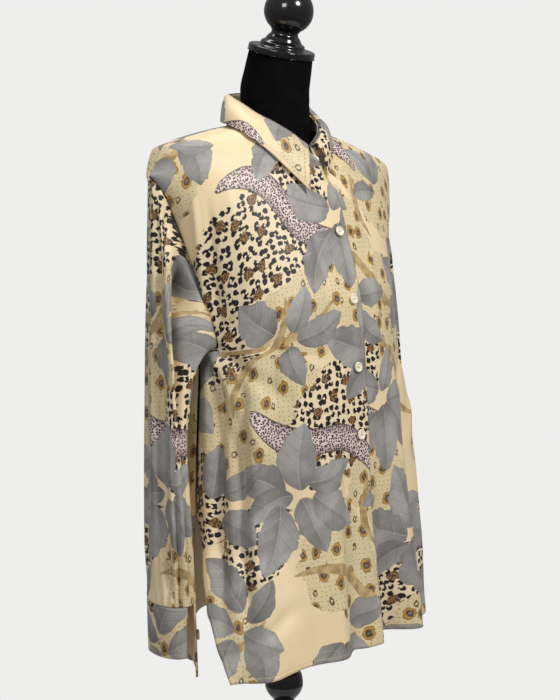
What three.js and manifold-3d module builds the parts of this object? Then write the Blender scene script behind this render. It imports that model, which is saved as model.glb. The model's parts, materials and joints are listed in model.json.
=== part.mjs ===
// A long-sleeved printed blouse, buttoned up the front, worn by a limbless dress form on a turned post.
// Sizes are in millimetres. +Z is up, the front faces -Y and the wearer's left is +X.
// The origin is the middle of the base's underside, on the axis of the post.
// The blouse is cut as fronts, back, sleeves, cuffs, collar stand and collar leaf, each a thin wall of cloth.

import * as THREE from "three";
import { mergeVertices } from "three/addons/utils/BufferGeometryUtils.js";
import Module from "manifold-3d";

const wasm = await Module();
wasm.setup();

// Rows of numbers, each under its column's name.
const table = (columns, rows) =>
  rows.map((row) => Object.fromEntries(columns.map((name, k) => [name, row[k]])));

// Driving dimensions

const NECK_Z = 1185; // height of the shoulder seams' inner ends, carried on to the middle
const HEM_DROP = 665; // from there down to the hem
const UNDERARM_DROP = 303; // from there down to the foot of the armhole
const CLOTH = 1.6; // wall of the body and sleeves
const FIRM_CLOTH = 2.4; // wall of the collar and cuffs, which are two layers and an interlining
const SEAM_GAP = 0.3; // between two pieces at a seam
const NECK_HALF = 58; // half the width of the neck hole
const NECK_FRONT_DROP = 54; // how low the neck hole lies at centre front
const NECK_BACK_DROP = 8; // and at centre back
const LAP = 17; // the fronts reach this far past centre front
const LAP_STEP = 1.5; // the right front rises, and the left front sinks, by this much where they lap
const CUFF_TOP_Z = 591;
const CUFF_HEIGHT = 62;
const BUTTON_RADIUS = 6.5;
const BUTTON_THICK = 2.6;
const CUFF_BUTTON_SHARE = 0.93; // how far along the cuff its button sits
const RIGHT_CUFF_DROOP = 26; // the undone end of the right cuff hangs this much lower

// The front buttons. The top one is undone, so it shows on the left front, inside the neck.
const BUTTONS = [
  { hand: 1, height: 1131 },
  { hand: -1, height: 1039 },
  { hand: -1, height: 954 },
  { hand: -1, height: 868 },
  { hand: -1, height: 783 },
];

const FORM_CLEAR = 2.1; // between the form's shoulders and the middle of the cloth that rests on them
const FORM_FOOT_DROP = 545; // from NECK_Z down to the form's flat underside
const NECK_TOP_Z = 1273;
const CAP_TILT = 15; // degrees that the neck cap leans forward

// Levels of the body's cloth, from the shoulder seams to the hem.
// drop: below NECK_Z at the middle. front, back: Y at centre front and centre back. middle: Y of the sides.
// wideLeft, wideRight: half widths of the fronts. wideBack: half width of the back.
// fallLeft, fallRight: how much lower the sides lie than the middle.
// tip: how far the shoulder's tip rolls down.
// square: 2 is an ellipse, more is squarer.
const LEVELS = table(
  [
    "drop", "front", "back", "middle", "wideLeft", "wideRight",
    "wideBack", "fallLeft", "fallRight", "tip", "square", "squareRight",
  ],
  [
    [0, 16, 16, 16, 216, 218, 217, 58, 42, 30, 2.2, 2.2],
    [4, -17, 58, 16, 216, 218, 217, 58, 42, 28, 2.2, 2.2],
    [10, -33, 69, 16, 215, 217, 216, 57, 41, 25, 2.2, 2.2],
    [20, -45, 79, 16, 212, 215, 213, 55, 40, 20, 2.2, 2.2],
    [35, -56, 86, 15, 207, 211, 209, 52, 38, 14, 2.2, 2.2],
    [60, -68, 94, 13, 199, 203, 201, 46, 34, 7, 2.2, 2.2],
    [100, -84, 101, 9, 186, 190, 188, 36, 27, 2, 2.2, 2.2],
    [146, -99, 105, 4, 173, 177, 175, 25, 19, 0, 2.2, 2.2],
    [190, -113, 106, 0, 163, 167, 165, 15, 12, 0, 2.2, 2.2],
    [231, -124, 106, -3, 158, 160, 159, 8, 6, 0, 2.2, 2.3],
    [285, -130, 104, -8, 158, 157, 157, 1, 1, 0, 2.2, 2.4],
    [317, -132, 103, -10, 162, 158, 160, 0, 0, 0, 2.2, 2.5],
    [402, -138, 102, -15, 171, 165, 168, 0, 0, 0, 2.2, 2.8],
    [485, -144, 103, -20, 176, 172, 174, 0, 0, 0, 2.3, 3.0],
    [530, -149, 105, -22, 178, 177, 176, 0, 0, 0, 2.3, 3.2],
    [560, -153, 106, -24, 179, 189, 177, 0, 1, 0, 2.3, 3.3],
    [600, -158, 108, -25, 181, 203, 178, 0, 4, 0, 2.3, 3.5],
    [665, -165, 111, -27, 184, 232, 180, 0, 11, 0, 2.3, 3.8],
  ],
);

// Where the side edges lie, in degrees round from the centre line: fronts and back meet there.
// Past the top of the vents the fronts' edges swing forward, away from the back's.
const SIDE_EDGES = table(
  ["drop", "right", "left", "back"],
  [
    [0, 90, 90, 90],
    [50, 84, 84, 82],
    [100, 86, 84, 80],
    [150, 86, 84, 80],
    [205, 83, 82, 82],
    [245, 81, 81, 84],
    [283, 79, 80, 87],
    [303, 90, 90, 90],
    [490, 90, 90, 90],
    [530, 88, 88, 90],
    [550, 86, 87, 90],
    [589, 81, 85, 90],
    [625, 72, 82, 90],
    [665, 57, 76, 89],
  ],
);

// Rows of the body's mesh, as drops. They are the same on every panel, so the side seams meet.
const ROWS = [
  0, 1.2, 4, 9, 16, 26, 40, 58, 80, 106, 136, 168, 200, 232, 260, 283, 303,
  332, 370, 410, 450, 490, 530, 565, 600, 634, 665,
];
const TOP_ROWS_DROP = 58; // rows above this follow the neck hole

// The cloth's largest folds: soft ridges where deep is over 0 and troughs where it is under 0.
// top, bottom: distance round from the centre line at drop `from` and at the hem, over 0 on the
// wearer's left.
// full: the drop at which the fold has its whole depth. wide: half its width.
const FRONT_FOLDS = [
  { top: -34, bottom: -62, from: 250, full: 640, wide: 22, deep: 9 },
  { top: -14, bottom: -26, from: 320, full: 660, wide: 19, deep: -10 },
  { top: -108, bottom: -112, from: 260, full: 620, wide: 30, deep: -6 },
  { top: -138, bottom: -170, from: 150, full: 430, wide: 20, deep: 6 },
  { top: -160, bottom: -206, from: 160, full: 460, wide: 17, deep: -6 },
  { top: 34, bottom: 62, from: 400, full: 700, wide: 24, deep: -36 },
  { top: 70, bottom: 98, from: 260, full: 600, wide: 20, deep: 9 },
  { top: 110, bottom: 138, from: 220, full: 560, wide: 22, deep: -7 },
  { top: 146, bottom: 178, from: 180, full: 480, wide: 20, deep: 4 },
];
const BACK_FOLDS = [
  { top: -108, bottom: -136, from: 130, full: 520, wide: 22, deep: 7 },
  { top: -66, bottom: -88, from: 150, full: 560, wide: 24, deep: -8 },
  { top: -20, bottom: -34, from: 160, full: 600, wide: 26, deep: 9 },
  { top: 16, bottom: 22, from: 200, full: 600, wide: 26, deep: -9 },
  { top: 60, bottom: 78, from: 130, full: 560, wide: 24, deep: 9 },
  { top: 112, bottom: 132, from: 140, full: 520, wide: 22, deep: -7 },
];

// How the sleeves hang: the middle of each level's section, its half sizes, and how far its long side
// is turned out at the front, in degrees.
const SLEEVE_LEVELS = table(
  ["z", "rightX", "rightY", "leftX", "leftY", "across", "along", "turned"],
  [
    [526, -213, -21, 216, 26, 26, 39, 14],
    [591, -213, -21, 216, 26, 26, 39, 14],
    [700, -211, -14, 212, 32, 24, 45, 20],
    [850, -197, 10, 200, 40, 20, 48, 25],
    [1000, -189, 24, 190, 42, 18, 48, 28],
    [1110, -192, 24, 192, 30, 20, 44, 20],
  ],
);
const SLEEVE_TURN = 40; // mm below the armhole over which the sleeve head rounds over
const SLEEVE_STEP = 3.2; // the sleeve starts this far out from the armhole
const GATHERS = 16; // tucks that ease the sleeve head into the armhole, counted all round
const GATHER_DEPTH = 1.6;

// Folds down each sleeve. at: degrees round from the outside, by way of the front. wide: half its width.
const SLEEVE_FOLDS = [
  { at: 18, wide: 13, deep: 3 },
  { at: 48, wide: 13, deep: -6 },
  { at: 78, wide: 14, deep: 4 },
  { at: 108, wide: 14, deep: -4 },
  { at: 180, wide: 22, deep: -4 },
  { at: 250, wide: 16, deep: 4 },
  { at: 284, wide: 15, deep: -5 },
  { at: 316, wide: 14, deep: 4 },
  { at: 346, wide: 13, deep: -4 },
];

// The collar's fold line and the leaf's outer edges on the wearer's right and left, by degrees round from
// centre front. The neck is undone, so the left point hangs under and nearer the middle than the right one.
const COLLAR_SHIFT = -3; // the collar sits this far towards the wearer's right
const COLLAR_LINES = table(
  ["turn", "foldX", "foldY", "foldZ", "rightX", "rightY", "rightZ", "leftX", "leftY", "leftZ"],
  [
    [0, 4, -49, 1152, -38, -88, 1092, 12, -70, 1112],
    [20, 22, -44, 1165, -62, -71, 1120, 28, -60, 1134],
    [45, 40, -28, 1180, -83, -54, 1145, 44, -45, 1158],
    [65, 50, -5, 1192, -101, -34, 1164, 56, -18, 1175],
    [90, 57, 20, 1207, -97, 8, 1178, 64, 12, 1184],
    [120, 49, 50, 1217, -72, 46, 1183, 58, 50, 1184],
    [150, 29, 70, 1221, -40, 74, 1182, 36, 74, 1182],
    [180, 0, 77, 1223, 0, 83, 1181, 0, 83, 1181],
  ],
);

// The covered form under the blouse, by the same drops as LEVELS.
const FORM_LEVELS = table(
  ["drop", "front", "back", "middle", "half"],
  [
    [0, 12, 20, 16, 172],
    [4, -10, 54, 16, 172],
    [10, -18, 65, 16, 172],
    [20, -28, 74, 16, 171],
    [35, -34, 80, 15, 168],
    [60, -43, 87, 13, 160],
    [100, -62, 94, 9, 148],
    [146, -88, 97, 4, 140],
    [200, -108, 96, 0, 136],
    [260, -112, 88, -2, 134],
    [320, -96, 76, -3, 122],
    [390, -84, 66, -4, 113],
    [460, -92, 76, -6, 124],
    [520, -94, 80, -7, 126],
    [545, -86, 72, -7, 118],
  ],
);

// The form's neck, which leans forward.
const NECK_LEVELS = [
  { z: 1120, y: 14, radius: 44 },
  { z: 1165, y: 15, radius: 45.5 },
  { z: 1195, y: 16.5, radius: 46 },
  { z: 1224, y: 18, radius: 46.5 },
  { z: 1250, y: 12, radius: 44.5 },
  { z: 1273, y: 6, radius: 42.5 },
];

// Turned outlines, as radius and height: the cap's from its own foot, the post's and the base's from
// the floor.
const POST_TOP_Z = NECK_Z - FORM_CLEAR - FORM_FOOT_DROP - SEAM_GAP;
const CAP_PROFILE = [
  [0, 0], [43, 0], [45, 2], [45, 7], [43, 9], [31, 10], [30, 15], [24, 18], [22, 23], [18, 28], [18, 31],
  [25, 37], [31, 46], [33, 57], [32, 67], [27, 78], [19, 86], [9, 90], [0, 91],
];
const POST_PROFILE = [
  [0, 22.3], [34, 22.3], [34, 27], [27, 33], [17, 38], [15, 48], [19, 54], [19, 60], [15, 66], [13, 80],
  [13, 385], [17, 392], [19, 400], [17, 408], [14, 413], [21, 421], [25, 433], [24, 444], [18, 454],
  [15, 458], [22, 466], [22, 474], [15, 480], [15, POST_TOP_Z], [0, POST_TOP_Z],
];
const BASE_PROFILE = [[0, 0], [168, 0], [170, 3], [170, 14], [164, 19], [150, 22], [0, 22]];

// Small tools

const radians = (degrees) => (degrees * Math.PI) / 180;
const mix = (a, b, t) => a + (b - a) * t;
const ease = (t) => {
  const k = Math.min(1, Math.max(0, t));
  return k * k * (3 - 2 * k);
};

// A smooth curve through one column of a table. It never swings past the values on either side.
function curve(rows, across, column) {
  const xs = rows.map((row) => row[across]);
  const ys = rows.map((row) => row[column]);
  const rise = (i) => (ys[i + 1] - ys[i]) / (xs[i + 1] - xs[i]);
  const last = xs.length - 1;
  const slopes = xs.map((_, i) => {
    if (i === 0) return rise(0);
    if (i === last) return rise(last - 1);
    const [before, after] = [rise(i - 1), rise(i)];
    return before * after <= 0 ? 0 : (2 * before * after) / (before + after);
  });
  return (x) => {
    if (x <= xs[0]) return ys[0];
    if (x >= xs[last]) return ys[last];
    const i = xs.findIndex((_, k) => x < xs[k + 1]);
    const step = xs[i + 1] - xs[i];
    const t = (x - xs[i]) / step;
    const [t2, t3] = [t * t, t * t * t];
    return (
      ys[i] * (2 * t3 - 3 * t2 + 1) +
      slopes[i] * step * (t3 - 2 * t2 + t) +
      ys[i + 1] * (3 * t2 - 2 * t3) +
      slopes[i + 1] * step * (t3 - t2)
    );
  };
}

const curvesOf = (rows, across) =>
  Object.fromEntries(Object.keys(rows[0]).map((column) => [column, curve(rows, across, column)]));
const level = curvesOf(LEVELS, "drop");
const sideEdge = curvesOf(SIDE_EDGES, "drop");
const hang = curvesOf(SLEEVE_LEVELS, "z");
const collar = curvesOf(COLLAR_LINES, "turn");
const form = curvesOf(FORM_LEVELS, "drop");
const neck = curvesOf(NECK_LEVELS, "z");

function geometryOf(points, triangles) {
  const geometry = new THREE.BufferGeometry();
  geometry.setAttribute("position", new THREE.Float32BufferAttribute(points.flat(), 3));
  geometry.setIndex(triangles.flat());
  return geometry;
}

// Turns the faces round if the solid is inside out.
function facingOut(geometry) {
  const position = geometry.getAttribute("position");
  const index = geometry.getIndex();
  const corner = (k) => new THREE.Vector3().fromBufferAttribute(position, index.getX(k));
  let volume = 0;
  for (let k = 0; k < index.count; k += 3) volume += corner(k).dot(corner(k + 1).cross(corner(k + 2)));
  for (let k = 0; k < index.count && volume < 0; k += 3) {
    const second = index.getX(k + 1);
    index.setX(k + 1, index.getX(k + 2));
    index.setX(k + 2, second);
  }
  geometry.computeVertexNormals();
  return geometry;
}

// A wall of cloth: a grid of points thickened by half its thickness to each side.
// grid[row][column]. With round set, the last column joins the first.
function wall(grid, thick, round = false) {
  const [rows, columns] = [grid.length, grid[0].length];
  const at = (i, j) => {
    const row = Math.min(rows - 1, Math.max(0, i));
    const column = round ? (j + columns) % columns : Math.min(columns - 1, Math.max(0, j));
    return new THREE.Vector3(...grid[row][column]);
  };
  const points = [];
  for (const side of [0.5, -0.5]) {
    for (let i = 0; i < rows; i++) {
      for (let j = 0; j < columns; j++) {
        const down = at(i + 1, j).sub(at(i - 1, j));
        const along = at(i, j + 1).sub(at(i, j - 1));
        const normal = along.cross(down).normalize().multiplyScalar(side * thick);
        points.push(at(i, j).add(normal).toArray());
      }
    }
  }
  const half = rows * columns;
  const wide = round ? columns : columns - 1;
  const index = (i, j) => i * columns + (j % columns);
  const triangles = [];
  const quad = (a, b, c, d) => triangles.push([a, b, c], [a, c, d]);
  for (let i = 0; i < rows - 1; i++) {
    for (let j = 0; j < wide; j++) {
      const [a, b, c, d] = [index(i, j), index(i, j + 1), index(i + 1, j + 1), index(i + 1, j)];
      quad(a, d, c, b);
      quad(half + a, half + b, half + c, half + d);
    }
  }
  for (let j = 0; j < wide; j++) {
    const [a, b] = [index(0, j), index(0, j + 1)];
    const [c, d] = [index(rows - 1, j), index(rows - 1, j + 1)];
    quad(a, b, half + b, half + a);
    quad(d, c, half + c, half + d);
  }
  for (let i = 0; i < rows - 1 && !round; i++) {
    const [a, b] = [index(i, 0), index(i + 1, 0)];
    const [c, d] = [index(i, columns - 1), index(i + 1, columns - 1)];
    quad(b, a, half + a, half + b);
    quad(c, d, half + d, half + c);
  }
  return facingOut(geometryOf(points, triangles));
}

// A solid lofted through closed rings. Its ends are closed from one side of the ring to the other.
function loft(rings) {
  const count = rings[0].length;
  const triangles = [];
  for (let i = 0; i < rings.length - 1; i++) {
    for (let j = 0; j < count; j++) {
      const [a, b] = [i * count + j, i * count + ((j + 1) % count)];
      triangles.push([a, b, b + count], [a, b + count, a + count]);
    }
  }
  const last = (rings.length - 1) * count;
  for (let j = 0; j < count / 2 - 1; j++) {
    const [a, b, c, d] = [j, j + 1, count - 2 - j, count - 1 - j];
    triangles.push([a, c, b], [last + a, last + b, last + c]);
    triangles.push([a, d, c], [last + a, last + c, last + d]);
  }
  return facingOut(geometryOf(rings.flat(), triangles));
}

const solidOf = (geometry) => {
  const bare = geometry.clone();
  bare.deleteAttribute("normal");
  bare.deleteAttribute("uv");
  const merged = mergeVertices(bare, 1e-3);
  const [position, index] = [merged.getAttribute("position"), merged.getIndex()];
  return new wasm.Manifold(
    new wasm.Mesh({
      numProp: 3,
      vertProperties: new Float32Array(position.array),
      triVerts: new Uint32Array(index.array),
    }),
  );
};
const geometryFrom = (solid) => {
  const mesh = solid.getMesh();
  const geometry = new THREE.BufferGeometry();
  geometry.setAttribute("position", new THREE.BufferAttribute(new Float32Array(mesh.vertProperties), 3));
  geometry.setIndex([...mesh.triVerts]);
  geometry.computeVertexNormals();
  return geometry;
};

// A turned solid about +Z from rows of radius and height, starting and ending on the axis.
const turned = (profile, segments) =>
  facingOut(
    mergeVertices(
      new THREE.LatheGeometry(
        profile.map(([radius, z]) => new THREE.Vector2(radius, z)),
        segments,
      )
        .rotateX(Math.PI / 2)
        .deleteAttribute("uv")
        .deleteAttribute("normal"),
      1e-3,
    ),
  );

// The body's cloth. Both fronts lie on one surface, so that they lap, and the back on another.

// A point before folds, `turn` degrees round from the centre line, over 0 on the wearer's left.
function sheetPoint(face, drop, turn) {
  const front = face === "front";
  const right = turn < 0;
  const half = level[front ? (right ? "wideRight" : "wideLeft") : "wideBack"](drop);
  const power = 2 / level[front && right ? "squareRight" : "square"](drop);
  const angle = radians(Math.min(90, Math.abs(turn)));
  const share = Math.sin(angle) ** power;
  const depth = Math.cos(angle) ** power;
  return [
    Math.sign(turn) * half * share,
    mix(level.middle(drop), level[face](drop), depth),
    NECK_Z - drop - shoulderFall(drop, right, share),
  ];
}

// How much lower the cloth lies at a share of its half width than at the middle.
function shoulderFall(drop, right, share) {
  const slope = right ? level.fallRight(drop) * share ** 1.6 : level.fallLeft(drop) * share ** 1.15;
  return slope + level.tip(drop) * ease((share - 0.88) / 0.12);
}

// How far round the sheet lies from its centre line, in mm.
function reach(face, drop, turn) {
  const steps = 40;
  let sum = 0;
  let before = sheetPoint(face, drop, 0);
  for (let k = 1; k <= steps; k++) {
    const after = sheetPoint(face, drop, (turn * k) / steps);
    sum += Math.hypot(after[0] - before[0], after[1] - before[1]);
    before = after;
  }
  return Math.sign(turn) * sum;
}

// The turn at a distance round from the centre line.
function turnAt(face, drop, round) {
  const limit = Math.sign(round) * 90;
  let [low, high] = [0, 1];
  for (let k = 0; k < 24; k++) {
    const middle = (low + high) / 2;
    if (Math.abs(reach(face, drop, limit * middle)) < Math.abs(round)) low = middle;
    else high = middle;
  }
  return limit * low;
}

// A point of the folded sheet at a distance round, raised by `lift`, and the way the sheet faces there.
function clothPoint(face, drop, round, lift = 0) {
  const turn = turnAt(face, drop, round);
  const [x, y, z] = sheetPoint(face, drop, turn);
  const step = Math.min(0.5, 90 - Math.abs(turn) + 0.01);
  const [a, b] = [sheetPoint(face, drop, turn - step), sheetPoint(face, drop, turn + step)];
  const length = Math.hypot(b[0] - a[0], b[1] - a[1]);
  const way = face === "front" ? -1 : 1;
  const outward = [(-way * (b[1] - a[1])) / length, (way * (b[0] - a[0])) / length];
  const folds = face === "front" ? FRONT_FOLDS : BACK_FOLDS;
  const rise = folds.reduce((sum, fold) => {
    const middle = mix(fold.top, fold.bottom, (drop - fold.from) / (HEM_DROP - fold.from));
    const strength = ease((drop - fold.from) / (fold.full - fold.from));
    return sum + fold.deep * strength * Math.exp(-(((round - middle) / fold.wide) ** 2));
  }, lift);
  return [x + outward[0] * rise, y + outward[1] * rise, z];
}

// The drop of a panel's top edge at a share of its width: along the shoulder seam, then round the neck hole.
function topDrop(face, x) {
  const front = face === "front";
  const share = Math.min(1, Math.abs(x) / NECK_HALF);
  return (front ? NECK_FRONT_DROP : NECK_BACK_DROP) * (1 - share ** (front ? 1.2 : 4)) ** (front ? 1 : 0.6);
}

// How far the fronts' edges lie past centre front. The right one draws back where the neck is undone.
const lapOf = (hand, drop) => (hand < 0 ? mix(-2, LAP, ease((drop - 50) / 60)) : LAP);

// How much a front is raised where the two lap. The left one falls back at the undone neck and at the hem.
function lapLift(hand, drop, round) {
  const near = ease(1 - Math.abs(round) / 60);
  if (hand < 0) return LAP_STEP * near;
  const wide = ease(1 - Math.abs(round) / 75);
  const neckSink = 8 * ease((100 - drop) / 50) * ease((drop - 6) / 30);
  return -LAP_STEP * near - neckSink * wide - 12 * ease((drop - 500) / 165) * near;
}

// One panel's grid, from its inner edge, or the back's right one, round to its outer edge.
function panelGrid(panel, columns) {
  const back = panel === "back";
  const hand = panel === "right" ? -1 : 1;
  const face = back ? "back" : "front";
  return ROWS.map((row, i) =>
    Array.from({ length: columns + 1 }, (_, j) => {
      const across = j / columns;
      const place = (drop) => {
        const side = Math.abs(reach(face, drop, hand * sideEdge[panel](drop))) - SEAM_GAP;
        return back ? mix(-side, side, across) : hand * mix(-lapOf(hand, drop), side, across);
      };
      let drop = row;
      if (row < TOP_ROWS_DROP) {
        let top = 0;
        for (let k = 0; k < 12; k++) {
          const [x] = sheetPoint(face, top, turnAt(face, top, place(top)));
          top = topDrop(face, x);
        }
        drop = mix(top, TOP_ROWS_DROP, row / TOP_ROWS_DROP);
      }
      const round = place(drop);
      const point = clothPoint(face, drop, round, back ? 0 : lapLift(hand, drop, round));
      return i === 0 ? [point[0], point[1] + (back ? SEAM_GAP : -SEAM_GAP), point[2]] : point;
    }),
  );
}

// The sleeves

// The armhole, by degrees round from the shoulder: 90 is its front, 180 the underarm, 270 its back.
function armhole(hand, turn) {
  const drop = (UNDERARM_DROP * (1 - Math.cos(radians(turn)))) / 2;
  const front = turn <= 180;
  const panel = front ? (hand < 0 ? "right" : "left") : "back";
  return sheetPoint(front ? "front" : "back", drop, hand * sideEdge[panel](drop));
}

const sleeveFold = (turn) =>
  SLEEVE_FOLDS.reduce((sum, fold) => {
    const off = ((turn - fold.at + 540) % 360) - 180;
    return sum + fold.deep * Math.exp(-((off / fold.wide) ** 2));
  }, 0);

// A point of the hanging sleeve's section at height z, `out` mm outside it, by degrees round from the
// outside.
function sleeveSection(hand, turn, z, out) {
  const side = hand < 0 ? "right" : "left";
  const across = (hang.across(z) + out) * Math.cos(radians(turn));
  const along = (hang.along(z) + out) * Math.sin(radians(turn));
  const swing = radians(hang.turned(z));
  return [
    hang[side + "X"](z) + hand * (across * Math.cos(swing) + along * Math.sin(swing)),
    hang[side + "Y"](z) + across * Math.sin(swing) - along * Math.cos(swing),
    z,
  ];
}

function sleevePoint(hand, turn, share) {
  const start = armhole(hand, turn);
  const z = mix(start[2], CUFF_TOP_Z + SEAM_GAP, share);
  const below = start[2] - z;
  const fold = sleeveFold(turn) * ease(below / 90) * ease((z - CUFF_TOP_Z) / 70);
  const [x, y] = sleeveSection(hand, turn, z, fold);
  const top = Math.max(0, 1 - Math.abs(((turn + 180) % 360) - 180) / 90);
  const wave = turn % (720 / GATHERS) < 360 / GATHERS ? 1 : -1;
  const gather = wave * GATHER_DEPTH * ease(top * 3) * Math.exp(-below / 30);
  const over = Math.min(1, below / SLEEVE_TURN);
  const round = mix(over * 0.35, 1, ease(below / 160));
  const outside = hand * (x - start[0]) > 0;
  const out = outside ? mix(Math.sqrt(1 - (1 - over) ** 2) * 0.75, 1, ease(below / 140)) : round;
  return [mix(start[0] + hand * SLEEVE_STEP, x, out) + hand * gather, mix(start[1], y, round), z];
}

const sleeve = (hand, rows, columns) =>
  wall(
    Array.from({ length: rows + 1 }, (_, i) =>
      Array.from({ length: columns }, (_, j) => sleevePoint(hand, (360 * j) / columns, (i / rows) ** 1.2)),
    ),
    CLOTH,
    true,
  );

// The cuffs: a band from one side of its opening round to the other. The right one hangs undone.

const CUFF_FIRST = 96; // degrees round where the band starts, at the front
const CUFF_SWEEP = 330;
function cuffPoint(hand, share, down, droop) {
  const end = ease((share - 0.78) / 0.22);
  const z = mix(CUFF_TOP_Z - SEAM_GAP, CUFF_TOP_Z - CUFF_HEIGHT - droop * end, down);
  const out = (droop * 0.25 * end - 2.5) * down;
  return sleeveSection(hand, CUFF_FIRST - CUFF_SWEEP * share, z, out);
}
const cuff = (hand, rows, columns, droop) =>
  wall(
    Array.from({ length: rows + 1 }, (_, i) =>
      Array.from({ length: columns + 1 }, (_, j) => cuffPoint(hand, j / columns, i / rows, droop)),
    ),
    FIRM_CLOTH,
  );

// The collar, by a place along it: -1 is its front end on the wearer's right, 0 centre back, 1 the other end.

const roundFrom = (along) => 180 * (1 - Math.abs(along));

function foldPoint(along) {
  const round = roundFrom(along);
  return [Math.sign(along) * collar.foldX(round) + COLLAR_SHIFT, collar.foldY(round), collar.foldZ(round)];
}

// The edge of the neck hole on the fronts and the back.
function neckPoint(along) {
  const hand = Math.sign(along) || 1;
  const round = roundFrom(along);
  const face = round < 90 ? "front" : "back";
  const x = mix(collar.foldX(0), NECK_HALF, Math.sin(radians(round)));
  const drop = topDrop(face, x);
  const share = x / level.wideBack(drop);
  const depth = (1 - share ** 2.2) ** (1 / 2.2);
  const lift = face === "front" ? lapLift(hand, drop, hand * x) : 0;
  const y = mix(level.middle(drop), level[face](drop), depth) - lift;
  return [hand * x, y, NECK_Z - drop - shoulderFall(drop, hand < 0, share)];
}

// The stand rises from the seam to the fold line, a little inside the leaf.
function standPoint(along, up) {
  const inward = (point, by) => {
    const [x, y] = [point[0] - COLLAR_SHIFT, point[1] - 14];
    const scale = 1 - by / Math.hypot(x, y);
    return [x * scale + COLLAR_SHIFT, y * scale + 14];
  };
  const [seam, fold] = [neckPoint(along), foldPoint(along)];
  const start = [...inward(seam, 2), seam[2] + 2];
  const end = [...inward(fold, 4.2), fold[2] - 3.5];
  return start.map((value, k) => mix(value, end[k], up));
}

// The leaf turns over at the fold line and falls to its outer edge.
function leafPoint(along, down) {
  const side = along < 0 ? "right" : "left";
  const round = roundFrom(along);
  const fold = foldPoint(along);
  const edge = [collar[side + "X"](round), collar[side + "Y"](round), collar[side + "Z"](round)];
  const way = mix(Math.sqrt(1 - (1 - down) ** 2), down, 0.25);
  return [mix(fold[0], edge[0], way), mix(fold[1], edge[1], way), mix(fold[2], edge[2], down ** 1.5)];
}

// A strip along the collar. Its columns stand closer at the two front ends.
const strip = (point, rows, columns) =>
  Array.from({ length: rows + 1 }, (_, i) =>
    Array.from({ length: columns + 1 }, (_, j) => {
      const along = (2 * j) / columns - 1;
      return point(Math.sign(along) * Math.abs(along) ** 0.85, i / rows);
    }),
  );

// The scene graph

const blouse = new THREE.Group();
const cloth = new THREE.MeshStandardMaterial({ color: 0xdcc79a, roughness: 0.55, metalness: 0 });
const pearl = new THREE.MeshStandardMaterial({ color: 0xf1e6cc, roughness: 0.25, metalness: 0 });
const jersey = new THREE.MeshStandardMaterial({ color: 0x0c0c0d, roughness: 0.95, metalness: 0 });
const lacquer = new THREE.MeshStandardMaterial({ color: 0x0a0a0a, roughness: 0.2, metalness: 0 });

function add(name, geometry, material) {
  const mesh = new THREE.Mesh(geometry, material);
  mesh.name = name;
  blouse.add(mesh);
  return mesh;
}

add("front_right", wall(panelGrid("right", 13), CLOTH), cloth);
add("front_left", wall(panelGrid("left", 13), CLOTH), cloth);
add("back", wall(panelGrid("back", 24), CLOTH), cloth);
add("sleeve_right", sleeve(-1, 18, 32), cloth);
add("sleeve_left", sleeve(1, 18, 32), cloth);
add("cuff_right", cuff(-1, 3, 20, RIGHT_CUFF_DROOP), cloth);
add("cuff_left", cuff(1, 3, 20, 0), cloth);
add("collar_stand", wall(strip(standPoint, 3, 32), FIRM_CLOTH), cloth);
add("collar_leaf", wall(strip(leafPoint, 5, 36), FIRM_CLOTH), cloth);

// Buttons lie flat on the cloth under them: a place on a panel and the way it faces there.
function buttonSpot(hand, height) {
  const drop = NECK_Z - height;
  const lift = (round) => lapLift(hand, drop, round);
  const point = (down, round) => new THREE.Vector3(...clothPoint("front", drop + down, round, lift(round)));
  const normal = point(0, 5).sub(point(0, -5)).cross(point(-5, 0).sub(point(5, 0))).normalize();
  return { place: point(0, 0), normal };
}

const buttonSolid = () => {
  const [r, t] = [BUTTON_RADIUS, BUTTON_THICK];
  const rim = [[r, 0.8], [r, t - 0.6], [r - 1, t], [r - 2.6, t - 0.7]];
  const profile = [[0, 0], [r - 0.8, 0], ...rim, [0, t - 0.7]];
  let solid = solidOf(turned(profile, 14));
  for (const side of [-1, 1]) {
    const hole = new THREE.CylinderGeometry(0.8, 0.8, 3 * t, 6).rotateX(Math.PI / 2);
    solid = solid.subtract(solidOf(hole.translate(side * 1.5, 0, 0)));
  }
  return geometryFrom(solid);
};

function addButton(name, { place, normal }, lift) {
  const mesh = add(name, buttonSolid(), pearl);
  mesh.position.copy(place).addScaledVector(normal, lift);
  mesh.quaternion.setFromUnitVectors(new THREE.Vector3(0, 0, 1), normal);
}
BUTTONS.forEach(({ hand, height }, k) =>
  addButton(`button_${k + 1}`, buttonSpot(hand, height), CLOTH / 2 + SEAM_GAP + 0.5),
);

// The cuffs' buttons hang on the outside of the band's under end.
function cuffSpot(hand, droop) {
  const point = (share, down) => new THREE.Vector3(...cuffPoint(hand, share, down, droop));
  const along = point(CUFF_BUTTON_SHARE + 0.02, 0.5).sub(point(CUFF_BUTTON_SHARE - 0.02, 0.5));
  const down = point(CUFF_BUTTON_SHARE, 0.6).sub(point(CUFF_BUTTON_SHARE, 0.4));
  return { place: point(CUFF_BUTTON_SHARE, 0.5), normal: along.cross(down).multiplyScalar(-hand).normalize() };
}
addButton("cuff_button_right", cuffSpot(-1, RIGHT_CUFF_DROOP), FIRM_CLOTH / 2 + SEAM_GAP);
addButton("cuff_button_left", cuffSpot(1, 0), FIRM_CLOTH / 2 + SEAM_GAP);

// The form: its body follows the shoulders of the cloth, with its neck let in, on a turned post and a
// round base.

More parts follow.
